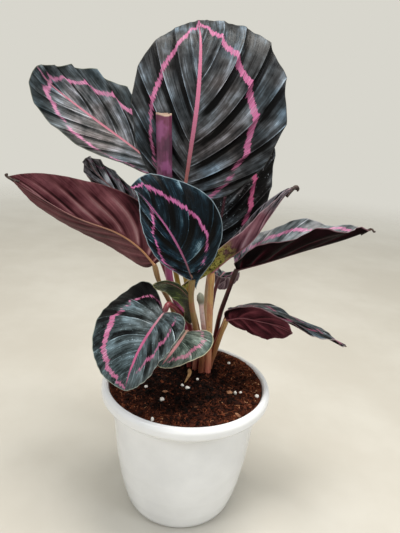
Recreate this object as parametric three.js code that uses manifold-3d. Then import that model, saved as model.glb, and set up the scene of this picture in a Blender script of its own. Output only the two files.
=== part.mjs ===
// A potted calathea: a white grower's pot, potting mix and a clump of broad leaves on stalks.
// Millimetres, +Z up. The origin is the centre of the pot's underside, on the surface it stands on.
// The plant's front faces -Y, and "left" and "right" are as seen from there.
import * as THREE from "three";
import { mergeVertices } from "three/addons/utils/BufferGeometryUtils.js";
import Module from "manifold-3d";

const wasm = await Module();
wasm.setup();

// Driving dimensions
const POT_HEIGHT = 120.4;
const RIM_RADIUS = 75;
const SECTORS = 34;
const CLEARANCE = 0.3;
const BLADE_THICKNESS = 0.8;
const RIB_DEPTH = 1.5;
const VEIN_SLANT = 0.15;
const STALK_SIDES = 8;
const STALK_FOOT = 104;
const STALK_NECK = 122;
const SOIL_EDGE = 117.6;
const SOIL_CROWN = 1.8;
const SOIL_BUMP = 0.5;

// The pot's wall as [radius, height]: up the outside, over the rim and down the inside
const FLOOR = { height: 2.4, radius: 45 };
const POT_OUTSIDE = [
  [0, 0], [44.5, 0], [48.2, 1.6], [50.4, 6], [53.4, 16], [57, 32], [60.2, 52], [62.6, 76], [66, 107.5],
];
const POT_RIM = [
  [72.2, 108.3], [RIM_RADIUS, 111.5], [RIM_RADIUS, 117], [73.2, 120.1], [70, POT_HEIGHT],
];
const POT_INSIDE = [
  [68.4, SOIL_EDGE], [68, 112.5], [64.4, 106.5], [61, 76], [56.9, 42], [51.2, 14],
  [FLOOR.radius, FLOOR.height], [0, FLOOR.height],
];
const DRAIN_HOLES = { count: 8, circle: 33, radius: 4, depth: 10, sides: 12 };

const COLOURS = {
  pot: 0xe9e9e6,
  soil: 0x2b1a12,
  bladeFront: 0x2c3a3e,
  bladeGreen: 0x56685a,
  bladeBack: 0x5a1f2c,
  maroonStalk: 0x55202b,
  tanStalk: 0x9a7448,
  mustardStalk: 0x8f7a35,
  pinkStalk: 0xb0705f,
  spear: 0x6b2746,
  shoot: 0xd9aeb0,
  husk: 0xa9794a,
  perlite: 0xe6e1d8,
  bark: 0x8a5a3a,
};

// Half a blade: its widest reach, its fold off the rib and its curl (degrees at base and tip), and its outline
function half(width, fold, curl, outline) {
  return { width, fold, curl, skew: 0, base: 0.8, tip: 1, lobe: 0.05, ...outline };
}

// Each leaf: its rib from base to tip, the way its upper face looks at both ends, its two halves,
// its pleats between the side veins, the ruffle of its edge, and its stalk
const LEAVES = {
  top: {
    rib: [[-13, 8, 278], [-9, 6, 320], [-6, 10, 360], [-7, 26, 400], [-11, 50, 422]],
    faces: [[0, -1, 0.1], [0, -1, 0.9]],
    left: half(51, [12, 8], [-20, -10], { base: 1, tip: 2.05, lobe: 0 }),
    right: half(70, [4, 4], [-15, -8], { base: 1.1, tip: 1.25, lobe: 0 }),
    sweep: 2.1, pleats: 9, pleatHeight: 2, ruffle: [1.2, 4, 0.5], scallop: 0.015,
    stalk: {
      foot: [9, 33.5], radii: [2.8, 2.4], colour: "mustardStalk",
      path: [[8, 28, 150], [-2, 20, 190], [-12, 12, 240]],
    },
    colour: "bladeFront",
  },
  upper_left: {
    rib: [[-30, 38, 296], [-61, 46, 317], [-98, 50, 340], [-133, 48, 363], [-145.5, 40, 373]],
    faces: [[0.1, -1, 0.5], [0, -1, 0.5]],
    left: half(31, [40, 5], [0, -10], { skew: -0.1, base: 0.9, tip: 1.1, lobe: 0 }),
    right: half(40, [5, 5], [-10, -10], { base: 0.9, tip: 1.35, lobe: 0 }),
    sweep: 2, pleats: 8, pleatHeight: 1.6, ruffle: [1.2, 4, 1], scallop: 0.03,
    stalk: {
      foot: [5, 38.5], radii: [2.5, 2], colour: "tanStalk",
      path: [[0, 35, 150], [-16, 32, 207], [-23, 35, 245]],
    },
    colour: "bladeFront",
  },
  left: {
    rib: [[-32, -12, 229], [-45, -14, 243], [-63, -18, 255], [-96, -26, 268], [-139, -34, 294]],
    faces: [[-0.17, 0.97, 0.1], [-0.17, 0.97, 0.1]],
    left: half(31, [5, 5], [0, 0], { skew: 0.15, base: 0.7, tip: 1.8 }),
    right: half(37, [48, 52], [10, 10], { skew: 0.4, tip: 1.9 }),
    sweep: 1.9, pleats: 8, pleatHeight: 1, ruffle: [1, 3, 0], scallop: 0,
    stalk: {
      foot: [0, 31], radii: [2.4, 1.9], colour: "tanStalk",
      path: [[-8, 20, 150], [-17, 4, 187], [-27, -9, 212]],
    },
    colour: "bladeBack",
  },
  small_back: {
    rib: [[-50, 28, 262], [-72, 33, 279], [-90, 40, 292], [-103, 46, 305]],
    faces: [[0, -1, 0.4], [0, -1, 0.4]],
    left: half(11, [20, 20], [10, 10]),
    right: half(13, [20, 20], [10, 10]),
    sweep: 1.7, pleats: 5, pleatHeight: 1.2, ruffle: [1.2, 3, 0], scallop: 0.08,
    stalk: {
      foot: [-1, 36.5], radii: [1.8, 1.6], colour: "maroonStalk",
      path: [[-8, 34, 150], [-22, 30, 200], [-40, 27, 243]],
    },
    colour: "bladeFront",
  },
  centre: {
    rib: [[0, -43, 229], [-7, -50, 247], [-18, -56, 267], [-36, -55, 288], [-47, -50, 295]],
    faces: [[-0.2, -1, 0.1], [-0.2, -1, 0.5]],
    left: half(17, [38, 38], [5, 5], { base: 1.2, tip: 1.25, lobe: 0 }),
    right: half(37, [5, 5], [-20, -20], { skew: -0.12, base: 2.3, tip: 1.25, lobe: 0.15 }),
    sweep: 2, pleats: 7, pleatHeight: 0.9, ruffle: [0.6, 3, 0], scallop: 0,
    stalk: {
      foot: [12.8, 16.2], radii: [2.6, 2.2], colour: "mustardStalk",
      path: [[12.5, 9, 137], [9, -2, 155], [4, -16, 182], [0, -32, 209]],
    },
    colour: "bladeFront",
  },
  lower_left: {
    rib: [[-20, -38, 199], [-28, -50, 189], [-35, -59, 177], [-40, -67, 164], [-44, -72, 149]],
    faces: [[-0.3, -0.8, 0.6], [-0.2, -0.9, 0.3]],
    left: half(36, [30, 50], [0, 0], { skew: 0.2, base: 0.7, tip: 1.7 }),
    right: half(48, [0, 0], [-20, -20], { skew: 0.05, base: 1, tip: 1.1, lobe: 0.6 }),
    sweep: 1.9, pleats: 7, pleatHeight: 1, ruffle: [1, 3, 0], scallop: 0,
    stalk: {
      foot: [1.5, 25], radii: [2.3, 1.9], colour: "maroonStalk",
      path: [[1, 17, 137], [2, 3, 157], [-1, -8, 178], [-9, -22, 194], [-17, -33, 204]],
    },
    colour: "bladeFront",
  },
  lower_small: {
    rib: [[-2, -20, 176], [-8, -34, 171], [-14, -46, 166], [-20, -54, 160]],
    faces: [[-0.1, -0.6, 0.8], [-0.1, -0.6, 0.8]],
    left: half(24, [10, 10], [-20, -20], { skew: 0.3, base: 0.7, tip: 1.7, lobe: 0.4 }),
    right: half(14, [10, 10], [-20, -20]),
    sweep: 1.7, pleats: 4, pleatHeight: 0.5, ruffle: [1.5, 2, 0], scallop: 0,
    stalk: {
      foot: [6.6, 20.1], radii: [2.1, 1.7], colour: "pinkStalk",
      path: [[6.5, 13, 138], [3.5, -6, 160]],
    },
    colour: "bladeGreen",
  },
  right_back: {
    rib: [[15, 36, 228], [21, 44, 262], [25, 52, 298], [32, 60, 333], [43, 66, 364]],
    faces: [[0.1, -1, 0.3], [0.1, -1, 0.3]],
    left: half(36, [10, 10], [-10, -10]),
    right: half(38, [5, 5], [-10, -10]),
    sweep: 2, pleats: 8, pleatHeight: 1.6, ruffle: [1.2, 4, 0], scallop: 0,
    stalk: {
      foot: [15.2, 32.8], radii: [2.5, 2.1], colour: "pinkStalk",
      path: [[14.5, 31, 150], [13, 31, 190]],
    },
    colour: "bladeFront",
  },
  right_fold: {
    rib: [[15, 4, 221], [28, 7, 233], [47, 11, 249], [59, 16, 267], [73, 21, 285], [83, 26, 295]],
    faces: [[-0.7, -0.1, 0.7], [-0.7, -0.1, 0.7]],
    left: half(14, [55, 55], [10, 10], { skew: 0.1, base: 0.9, tip: 1.8 }),
    right: half(16, [50, 50], [10, 10], { skew: 0.1, base: 0.9, tip: 1.8 }),
    sweep: 1.7, pleats: 6, pleatHeight: 0.8, ruffle: [1, 3, 0], scallop: 0,
    stalk: {
      foot: [18.8, 17.6], radii: [3.1, 2.6], colour: "tanStalk",
      path: [[18.3, 16, 140], [16.5, 11, 185]],
    },
    colour: "bladeBack",
  },
  long_right: {
    rib: [[36, 4, 225], [59, 4, 233], [90, 2, 246], [120, 0, 258], [142, -2, 269]],
    faces: [[-0.3, 0, 1], [-0.3, 0, 1]],
    left: half(38, [25, 25], [10, 10], { skew: 0.35, base: 0.5, tip: 2.4, lobe: 0.02 }),
    right: half(26, [40, 40], [20, 10], { skew: 0.2, tip: 1.9 }),
    sweep: 1.8, pleats: 7, pleatHeight: 1, ruffle: [1.8, 3.5, 0], scallop: 0,
    stalk: {
      foot: [20.5, 34.6], radii: [2.4, 1.9], colour: "maroonStalk",
      path: [[24, 28, 150], [26, 16, 178], [30, 8, 200]],
    },
    colour: "bladeBack",
  },
  lower_right: {
    rib: [[34, 10, 184], [56, 12, 187], [80, 10, 183], [108, 6, 174], [138, 0, 163]],
    faces: [[0, 0.3, 1], [0, 0.3, 1]],
    left: half(25, [10, 10], [0, 0], { skew: 0.25, base: 0.7, tip: 1.6 }),
    right: half(20, [0, 0], [-20, -20], { skew: 0.2, tip: 1.7 }),
    sweep: 1.7, pleats: 6, pleatHeight: 1, ruffle: [1.8, 3.5, 0], scallop: 0,
    stalk: {
      foot: [19.6, 29], radii: [2.3, 2], colour: "pinkStalk",
      path: [[24, 24, 142], [29, 15, 166]],
    },
    colour: "bladeFront",
  },
  lower_front: {
    rib: [[31, -4, 182], [43, -9, 187], [56, -13, 187], [70, -17, 186], [85, -20, 181]],
    faces: [[0, 0.8, 0.5], [0, 0.8, 0.5]],
    left: half(21, [0, 0], [0, 0], { base: 0.9, tip: 1.2, lobe: 0 }),
    right: half(17, [0, 0], [0, 0], { skew: 0.2, base: 0.7, tip: 1.5, lobe: 0 }),
    sweep: 1.7, pleats: 5, pleatHeight: 0.7, ruffle: [1, 3.5, 0], scallop: 0,
    stalk: {
      foot: [21.2, 23.8], radii: [2.2, 1.9], colour: "tanStalk",
      path: [[24.3, 17.8, 140], [27, 6, 160]],
    },
    colour: "bladeBack",
  },
  rear_small: {
    rib: [[25, 58, 200], [31, 76, 200], [33, 92, 188], [28, 102, 172]],
    faces: [[0.3, 0.3, 1], [0.1, 0.8, 0.7]],
    left: half(14, [10, 10], [10, 10]),
    right: half(14, [10, 10], [10, 10]),
    sweep: 1.6, pleats: 6, pleatHeight: 0.8, ruffle: [1, 3.5, 0], scallop: 0,
    stalk: {
      foot: [16, 38.8], radii: [1.9, 1.6], colour: "maroonStalk",
      path: [[17.5, 45, 150], [21, 54, 185]],
    },
    colour: "bladeBack",
  },
  sheath: {
    rib: [[3, -8, 182], [-1, -14, 200], [-9, -20, 212], [-20, -24, 218], [-31, -28, 217]],
    faces: [[0.3, -0.5, 0.8], [0, -0.5, 0.8]],
    left: half(12, [0, 0], [0, 0]),
    right: half(3, [0, 0], [0, 0]),
    sweep: 1.4, pleats: 4, pleatHeight: 0.2, ruffle: [0.4, 3, 0], scallop: 0,
    stalk: {
      foot: [12.3, 22], radii: [1.8, 1.3], colour: "mustardStalk",
      path: [[11.5, 18, 138], [8, 5, 162]],
    },
    colour: "bladeGreen",
  },
};

// The youngest leaf, still rolled: its stalk runs up into the bottom of the roll
const SPEAR = {
  path: [
    [8, 27, STALK_FOOT], [8, 27, STALK_NECK], [3.5, 20, 145], [-6, 11, 173], [-18, 4, 205], [-22, 0, 229],
    [-25, -4, 266],
  ],
  radii: [
    [0, 2.8], [0.15, 2.8], [0.3, 2.9], [0.45, 3], [0.6, 3.1], [0.75, 3.2], [0.93, 3.1], [0.95, 1.9], [1, 1.7],
  ],
  core: [[-24.3, -3, 257], [-27, -8, 298], [-28, -8, 319], [-30, -6, 347]],
  rollRadii: [4.5, 6.8],
  turns: 1.35,
  outerEdge: 0.75 * Math.PI,
  layerStep: 1.8,
};

// The newest shoot: a pale stalk with a small closed bud
const SHOOT = {
  path: [
    [14, 27, STALK_FOOT], [14, 27, STALK_NECK], [14.5, 24, 145], [9.5, 22, 178], [8, 23, 187], [6.5, 24, 195],
  ],
  radii: [[0, 2.4], [0.3, 2.4], [0.6, 2.2], [0.85, 2.1], [0.92, 3.6], [0.97, 3.2], [1, 0.8]],
};

// A curl of dry husk that leans from the crown onto the soil
const HUSK = {
  path: [[0, 14, 118.4], [2.5, 8, 124.5], [2, 1, 124], [-1.5, -4.5, 118.2]],
  radii: [[0, 0.6], [0.3, 1.5], [0.7, 1.4], [1, 0.6]],
};

// Loose bits on the soil: where they lie and their half sizes
const PERLITE = [
  { at: [1.7, -13], size: [2.3, 1.9, 1.7] },
  { at: [-3, -9], size: [1.6, 1.4, 1.3] },
  { at: [-18.6, -33.8], size: [2.3, 2, 1.9] },
  { at: [10, 1], size: [1.4, 1.3, 1.2] },
  { at: [48.4, -13.3], size: [1.4, 1.2, 1.2] },
  { at: [43.5, -15.7], size: [1.5, 1.3, 2.2] },
  { at: [62.3, -17.7], size: [1.5, 2, 1.8] },
  { at: [-23.4, -61], size: [1.3, 1.3, 2] },
  { at: [-34.4, -15.4], size: [1.7, 1.4, 1.2] },
  { at: [-30, 34], size: [2.1, 1.7, 1.5] },
  { at: [40, 38], size: [1.8, 1.6, 1.4] },
  { at: [4, 58], size: [2, 1.6, 1.5] },
];
const BARK = [
  { at: [38.5, -16], size: [2.8, 2.2, 1.6] },
  { at: [44.1, -46.4], size: [3, 1.6, 1.2] },
  { at: [-17, -22], size: [1.4, 3, 1.2] },
  { at: [-48, 22], size: [3.2, 1.8, 1.4] },
];

const vector = (xyz) => new THREE.Vector3(...xyz);
const mix = (a, b, t) => a + (b - a) * t;
const radians = THREE.MathUtils.degToRad;

// Solids for cutting, and back to geometry
function toSolid(geometry) {
  const bare = geometry.clone();
  bare.deleteAttribute("normal");
  bare.deleteAttribute("uv");
  const merged = mergeVertices(bare, 1e-3);
  const corners = merged.index.array;
  const kept = [];
  for (let i = 0; i < corners.length; i += 3) {
    const [a, b, c] = corners.slice(i, i + 3);
    if (a !== b && b !== c && c !== a) kept.push(a, b, c);
  }
  const vertProperties = new Float32Array(merged.attributes.position.array);
  return new wasm.Manifold(new wasm.Mesh({ numProp: 3, vertProperties, triVerts: new Uint32Array(kept) }));
}

function toGeometry(solid) {
  const mesh = solid.getMesh();
  const geometry = new THREE.BufferGeometry();
  geometry.setAttribute("position", new THREE.BufferAttribute(new Float32Array(mesh.vertProperties), 3));
  geometry.setIndex(new THREE.BufferAttribute(new Uint32Array(mesh.triVerts), 1));
  geometry.computeVertexNormals();
  return geometry;
}

function largestPiece(solid) {
  return solid.decompose().sort((a, b) => b.volume() - a.volume())[0];
}

// A closed surface from numbered corners: face(a, b, c) keeps only triangles with three different corners
class Shell {
  constructor() {
    this.positions = [];
    this.corners = [];
  }

  vertex(point) {
    this.positions.push(point.x, point.y, point.z);
    return this.positions.length / 3 - 1;
  }

  quad(a, b, c, d) {
    this.face(a, b, c);
    this.face(a, c, d);
  }

  face(a, b, c) {
    if (a !== b && b !== c && c !== a) this.corners.push(a, b, c);
  }

  geometry() {
    const geometry = new THREE.BufferGeometry();
    geometry.setAttribute("position", new THREE.Float32BufferAttribute(this.positions, 3));
    geometry.setIndex(this.corners);
    geometry.computeVertexNormals();
    return geometry;
  }
}

// A sheet with two faces split alike and walls round its edge.
// surface(s, v) gives a point on its upper and one on its lower face.
function sheet(surface, rows, columns, pointedEnds) {
  const shell = new Shell();
  const last = rows.length - 1;
  const grid = rows.map((s, row) => {
    const pointed = pointedEnds && (row === 0 || row === last);
    const across = pointed ? [0] : columns;
    const made = across.map((v) => surface(s, v).map((point) => shell.vertex(point)));
    return pointed ? columns.map(() => made[0]) : made;
  });
  const right = columns.length - 1;
  for (let row = 0; row < last; row += 1) {
    for (let column = 0; column < right; column += 1) {
      const [a, b] = [grid[row][column], grid[row][column + 1]];
      const [d, c] = [grid[row + 1][column], grid[row + 1][column + 1]];
      shell.quad(a[0], b[0], c[0], d[0]);
      shell.face(a[1], c[1], b[1]);
      shell.face(a[1], d[1], c[1]);
    }
    const [leftNear, leftFar] = [grid[row][0], grid[row + 1][0]];
    const [rightNear, rightFar] = [grid[row][right], grid[row + 1][right]];
    shell.quad(leftNear[0], leftFar[0], leftFar[1], leftNear[1]);
    shell.quad(rightNear[0], rightNear[1], rightFar[1], rightFar[0]);
  }
  if (!pointedEnds) {
    for (let column = 0; column < right; column += 1) {
      const [a, b] = [grid[0][column], grid[0][column + 1]];
      const [d, c] = [grid[last][column], grid[last][column + 1]];
      shell.quad(b[0], a[0], a[1], b[1]);
      shell.quad(d[0], c[0], c[1], d[1]);
    }
  }
  return shell.geometry();
}

const curveThrough = (points) => new THREE.CatmullRomCurve3(points.map(vector), false, "catmullrom", 0.5);

// Two directions across a curve, the same way round all along it
function acrossCurve(curve, u) {
  const tangent = curve.getTangentAt(u);
  const side = tangent.clone().cross(new THREE.Vector3(1, 0, 0)).normalize();
  return [side, side.clone().cross(tangent).normalize(), tangent];
}

// A round rod along a curve. stations lists [fraction of its length, radius]. extra fattens and lengthens it.
function rod(curve, stations, extra) {
  const shell = new Shell();
  const last = stations.length - 1;
  const rings = stations.map(([u, radius], station) => {
    const [side, up, tangent] = acrossCurve(curve, u);
    const push = station === 0 ? -extra : station === last ? extra : 0;
    const centre = curve.getPointAt(u).addScaledVector(tangent, push);
    return Array.from({ length: STALK_SIDES }, (_, i) => {
      const turn = (2 * Math.PI * i) / STALK_SIDES;
      const point = centre.clone().addScaledVector(side, Math.cos(turn) * (radius + extra));
      return shell.vertex(point.addScaledVector(up, Math.sin(turn) * (radius + extra)));
    });
  });
  const next = (i) => (i + 1) % STALK_SIDES;
  for (let ring = 0; ring < last; ring += 1) {
    for (let i = 0; i < STALK_SIDES; i += 1) {
      shell.quad(rings[ring][i], rings[ring + 1][i], rings[ring + 1][next(i)], rings[ring][next(i)]);
    }
  }
  for (let i = 1; i < STALK_SIDES - 1; i += 1) {
    shell.face(rings[0][0], rings[0][i], rings[0][i + 1]);
    shell.face(rings[last][0], rings[last][i + 1], rings[last][i]);
  }
  return shell.geometry();
}

// A stalk from its foot in the soil to the blade, with the short swollen joint that these plants have there
function stalkRod(stalk, end, extra) {
  const [x, y] = stalk.foot;
  const curve = curveThrough([[x, y, STALK_FOOT], [x, y, STALK_NECK], ...stalk.path, end]);
  const length = curve.getLength();
  const [low, high] = stalk.radii;
  const plain = [0, 0.14, 0.3, 0.46, 0.62, 0.78].map((u) => [u, mix(low, high, u)]);
  const swelling = [[14, 1], [8, 1.25], [3, 1.2], [0, 1]];
  const joint = swelling.map(([below, swell]) => [1 - below / length, high * swell]);
  return rod(curve, [...plain, ...joint], extra);
}

// The frame of a rib at fraction x of its length, going on straight past its ends
function ribFrame(leaf, curve, x) {
  const u = THREE.MathUtils.clamp(x, 0, 1);
  const tangent = curve.getTangentAt(u);
  const point = curve.getPointAt(u).addScaledVector(tangent, (x - u) * curve.getLength());
  const [first, second] = leaf.faces.map((face) => vector(face).normalize());
  const up = first.lerp(second, u);
  up.addScaledVector(tangent, -up.dot(tangent)).normalize();
  return { point, up, across: tangent.clone().cross(up), u };
}

// A blade's middle surface and its normal. s runs from base to tip, v from the left edge (-1) to the right.
// A line of one s is a side vein: it leaves the rib low down and slants forward to the edge.
function bladePoint(leaf, curve, s, v) {
  const side = v < 0 ? -1 : 1;
  const shape = v < 0 ? leaf.left : leaf.right;
  const out = Math.abs(v);
  const along = s + VEIN_SLANT * out * 4 * s * (1 - s);
  const bulge = Math.sin(Math.PI * along);
  const pleatWave = Math.cos(2 * Math.PI * leaf.pleats * s);
  const reach = shape.width * bulge ** mix(shape.base, shape.tip, along)
    * (1 + shape.skew * Math.cos(Math.PI * along)) * (1 + leaf.scallop * pleatWave);
  const alongEdge = (1 - Math.cos(Math.PI * along)) / 2 - 1.8 * shape.lobe * bulge * (1 - along) ** 2;
  const x = mix(along ** leaf.sweep, alongEdge, out ** 1.2);
  const { point, up, across, u } = ribFrame(leaf, curve, x);
  const fold = radians(mix(...shape.fold, u));
  const curl = radians(mix(...shape.curl, u)) / shape.width || 1e-6;
  const turn = fold + curl * reach * out;
  point.addScaledVector(across, (side * (Math.sin(turn) - Math.sin(fold))) / curl);
  point.addScaledVector(up, (Math.cos(fold) - Math.cos(turn)) / curl);
  const normal = up.clone();
  if (v !== 0) normal.multiplyScalar(Math.cos(turn)).addScaledVector(across, -side * Math.sin(turn));
  const pleatReach = Math.min(out / 0.35, 1) ** 1.5 * (1 - 0.3 * out) * bulge ** 0.6;
  const [ruffleHeight, ruffleCount, rufflePhase] = leaf.ruffle;
  const ruffle = Math.sin(2 * Math.PI * ruffleCount * s + rufflePhase + (v < 0 ? 1.3 : 0));
  const lift = leaf.pleatHeight * pleatReach * pleatWave + ruffleHeight * out ** 3 * ruffle * bulge ** 0.7;
  return { point: point.addScaledVector(normal, lift), normal };
}

function bladeSheet(leaf) {
  const curve = curveThrough(leaf.rib);
  const steps = 2 * leaf.pleats;
  const rows = [0, 0.5 / steps];
  for (let row = 1; row < steps; row += 1) rows.push(row / steps);
  rows.push(1 - 0.5 / steps, 1);
  const columns = [-1, -0.65, -0.35, -0.07, 0, 0.07, 0.35, 0.65, 1];
  const surface = (s, v) => {
    const { point, normal } = bladePoint(leaf, curve, s, v);
    const ribHere = v === 0 ? RIB_DEPTH * (1 - 0.7 * s) * Math.sin(Math.PI * s) ** 0.3 : 0;
    const upper = point.clone().addScaledVector(normal, BLADE_THICKNESS / 2);
    return [upper, point.addScaledVector(normal, -BLADE_THICKNESS / 2 - ribHere)];
  };
  return sheet(surface, rows, columns, true);
}

// The rolled leaf: one sheet wound round its core, with its top edge slanting down inside
function spearRoll() {
  const curve = curveThrough(SPEAR.core);
  const [low, high] = SPEAR.rollRadii;
  const surface = (s, v) => {
    const u = s * (1 - 0.05 * (v + 1) * s);
    const [side, up] = acrossCurve(curve, u);
    const turn = SPEAR.outerEdge - Math.PI * SPEAR.turns * (v + 1);
    const radius = mix(low, high, Math.min(1, 2.5 * s)) - (SPEAR.layerStep * (v + 1)) / 2;
    const outward = side.multiplyScalar(Math.cos(turn)).addScaledVector(up, Math.sin(turn));
    const centre = curve.getPointAt(u);
    const faces = [radius + BLADE_THICKNESS / 2, radius - BLADE_THICKNESS / 2];
    return faces.map((distance) => centre.clone().addScaledVector(outward, distance));
  };
  const rows = [0, 0.15, 0.4, 0.6, 0.8, 1];
  const columns = Array.from({ length: 17 }, (_, i) => i / 8 - 1);
  return sheet(surface, rows, columns, false);
}

function lathe(profile) {
  const points = profile.map(([radius, height]) => new THREE.Vector2(radius, height));
  return new THREE.LatheGeometry(points, SECTORS).rotateX(Math.PI / 2);
}

function potSolid() {
  let pot = toSolid(lathe([...POT_OUTSIDE, ...POT_RIM, ...POT_INSIDE]));
  for (let i = 0; i < DRAIN_HOLES.count; i += 1) {
    const turn = (2 * Math.PI * i) / DRAIN_HOLES.count;
    const { radius, circle, depth, sides } = DRAIN_HOLES;
    const hole = new THREE.CylinderGeometry(radius, radius, depth, sides).rotateX(Math.PI / 2);
    pot = pot.subtract(toSolid(hole.translate(circle * Math.cos(turn), circle * Math.sin(turn), 0)));
  }
  return pot;
}

// The soil's surface: a low dome with small bumps
function soilHeight(x, y) {
  const edge = POT_INSIDE[0][0];
  const dome = SOIL_CROWN * (1 - (x * x + y * y) / (edge * edge));
  const bumps = Math.sin(x / 5.1 + 1.3) * Math.sin(y / 4.3 + 0.4) + Math.sin((x + y) / 7);
  return SOIL_EDGE + dome + SOIL_BUMP * bumps;
}

function soilSolid(cutters) {
  const inside = POT_INSIDE.map(([radius, height]) => [radius - CLEARANCE, height]).slice(0, -2);
  const floor = FLOOR.height + CLEARANCE;
  const edge = inside[0][0];
  const top = [0, 10, 20, 30, 40, 50, 60].map((radius) => [radius, SOIL_EDGE]);
  const bottom = [[0, floor], [FLOOR.radius - CLEARANCE, floor]];
  const geometry = lathe([...bottom, ...inside.reverse(), ...top.reverse()]);
  const position = geometry.attributes.position;
  for (let i = 0; i < position.count; i += 1) {
    const [x, y, z] = [position.getX(i), position.getY(i), position.getZ(i)];
    if (z > SOIL_EDGE - 1e-3 && Math.hypot(x, y) < edge - 1) position.setZ(i, soilHeight(x, y));
  }
  return cutters.reduce((soil, cutter) => soil.subtract(cutter), toSolid(geometry));
}

// A small irregular bit, turned by its number and seated in the soil's surface
function bitGeometry({ at: [x, y], size }, number, extra) {
  const geometry = new THREE.IcosahedronGeometry(1, 0);
  geometry.scale(...size.map((reach) => reach + extra));
  geometry.rotateZ(number * 2.4);
  geometry.rotateX(0.3 * Math.sin(number * 1.7));
  return geometry.translate(x, y, soilHeight(x, y) + 0.35 * size[2]);
}

function named(name, geometry, colour, roughness) {
  const material = new THREE.MeshStandardMaterial({ color: COLOURS[colour], roughness, metalness: 0 });
  const mesh = new THREE.Mesh(geometry, material);
  mesh.name = name;
  return mesh;
}

// The whole plant
const calathea = new THREE.Group();
const rooted = [];

for (const [name, leaf] of Object.entries(LEAVES)) {
  const end = leaf.rib[0];
  const stalkSpace = toSolid(stalkRod(leaf.stalk, end, CLEARANCE));
  const blade = largestPiece(toSolid(bladeSheet(leaf)).subtract(stalkSpace));
  calathea.add(named(`blade_${name}`, toGeometry(blade), leaf.colour, 0.45));
  calathea.add(named(`stalk_${name}`, stalkRod(leaf.stalk, end, 0), leaf.stalk.colour, 0.5));
  rooted.push(stalkSpace);
}

calathea.add(named("spear_roll", spearRoll(), "spear", 0.4));

const STEMS = [["stalk_spear", SPEAR, "spear"], ["shoot", SHOOT, "shoot"], ["husk", HUSK, "husk"]];
for (const [name, piece, colour] of STEMS) {
  const curve = curveThrough(piece.path);
  calathea.add(named(name, rod(curve, piece.radii, 0), colour, 0.6));
  rooted.push(toSolid(rod(curve, piece.radii, CLEARANCE)));
}

for (const [kind, bits] of [["perlite", PERLITE], ["bark", BARK]]) {
  bits.forEach((bit, i) => {
    calathea.add(named(`${kind}_${i + 1}`, bitGeometry(bit, i, 0), kind, 0.9));
    rooted.push(toSolid(bitGeometry(bit, i, 1.4 * CLEARANCE)));
  });
}

calathea.add(named("pot", toGeometry(potSolid()), "pot", 0.3));
calathea.add(named("soil", toGeometry(soilSolid(rooted)), "soil", 1));

export default calathea;
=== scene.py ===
"""The looks of the potted calathea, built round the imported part.

Sizes are in millimetres and are turned into metres where a mesh is made. +Z is up and the front faces -Y.
"""
from functools import cache

import bmesh
import bpy
import numpy as np
from mathutils import Matrix, Vector


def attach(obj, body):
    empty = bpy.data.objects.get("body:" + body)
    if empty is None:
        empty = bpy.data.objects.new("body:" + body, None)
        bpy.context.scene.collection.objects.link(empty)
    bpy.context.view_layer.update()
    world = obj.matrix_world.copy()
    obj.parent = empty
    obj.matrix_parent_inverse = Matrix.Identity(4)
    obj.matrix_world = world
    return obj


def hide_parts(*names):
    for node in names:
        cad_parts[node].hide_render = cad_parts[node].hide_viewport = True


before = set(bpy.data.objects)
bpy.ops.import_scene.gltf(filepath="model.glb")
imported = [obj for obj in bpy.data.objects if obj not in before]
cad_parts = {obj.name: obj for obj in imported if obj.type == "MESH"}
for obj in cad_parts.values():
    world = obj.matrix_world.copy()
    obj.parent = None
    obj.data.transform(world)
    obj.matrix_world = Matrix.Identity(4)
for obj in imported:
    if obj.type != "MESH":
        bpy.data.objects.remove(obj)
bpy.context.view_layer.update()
MM = 0.001
RNG = np.random.default_rng(11)

# Driving sizes, the same as the part's own
POT_HEIGHT = 120.4
RIM_RADIUS = 75
SOIL_EDGE = 117.6
SOIL_CROWN = 1.8
SOIL_BUMP = 0.5
STALK_FOOT = 104
STALK_NECK = 122
VEIN_SLANT = 0.15
CLEARANCE = 0.3
FLOOR_HEIGHT = 2.4
FLOOR_RADIUS = 45
POT_OUTSIDE = [(0, 0), (44.5, 0), (48.2, 1.6), (50.4, 6), (53.4, 16), (57, 32), (60.2, 52), (62.6, 76),
               (66, 107.5)]
POT_RIM = [(72.2, 108.3), (RIM_RADIUS, 111.5), (RIM_RADIUS, 117), (73.2, 120.1), (70, POT_HEIGHT)]
POT_INSIDE = [(68.4, SOIL_EDGE), (68, 112.5), (64.4, 106.5), (61, 76), (56.9, 42), (51.2, 14),
              (FLOOR_RADIUS, FLOOR_HEIGHT), (0, FLOOR_HEIGHT)]
DRAIN_COUNT = 8
DRAIN_CIRCLE = 33
DRAIN_RADIUS = 4

# The scene's own sizes
SOIL_BANK = 1.9
LOOSE_EDGE = 66.5
BLADE_THICKNESS = 0.55
ROLL_THICKNESS = 0.7
STRIP_THICKNESS = 0.25
FLOOR_REACH = 4000

# How finely the pieces are made. Pairs are rows along a piece and columns across or round it.
ROWS_PER_VEIN = 16
NEAR_RIB = [0.012, 0.03, 0.055, 0.085]
NEAR_EDGE = [0.955, 0.975, 0.99, 1]
BLADE_COLUMNS = np.concatenate([NEAR_RIB, np.linspace(0.12, 0.93, 22), NEAR_EDGE])
RIB_SIDES = 12
STALK_MESH = (90, 20)
ROD_MESH = (110, 24)
ROLL_MESH = (90, 121)
STRIP_MESH = (60, 19)
POT_SECTORS = 160
SOIL_SECTORS = 240
SOIL_RINGS = 110
DRAIN_SIDES = 32
FLOOR_SIDES = 96
CRUMBS = 6800
FIBRES = 3000


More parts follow.
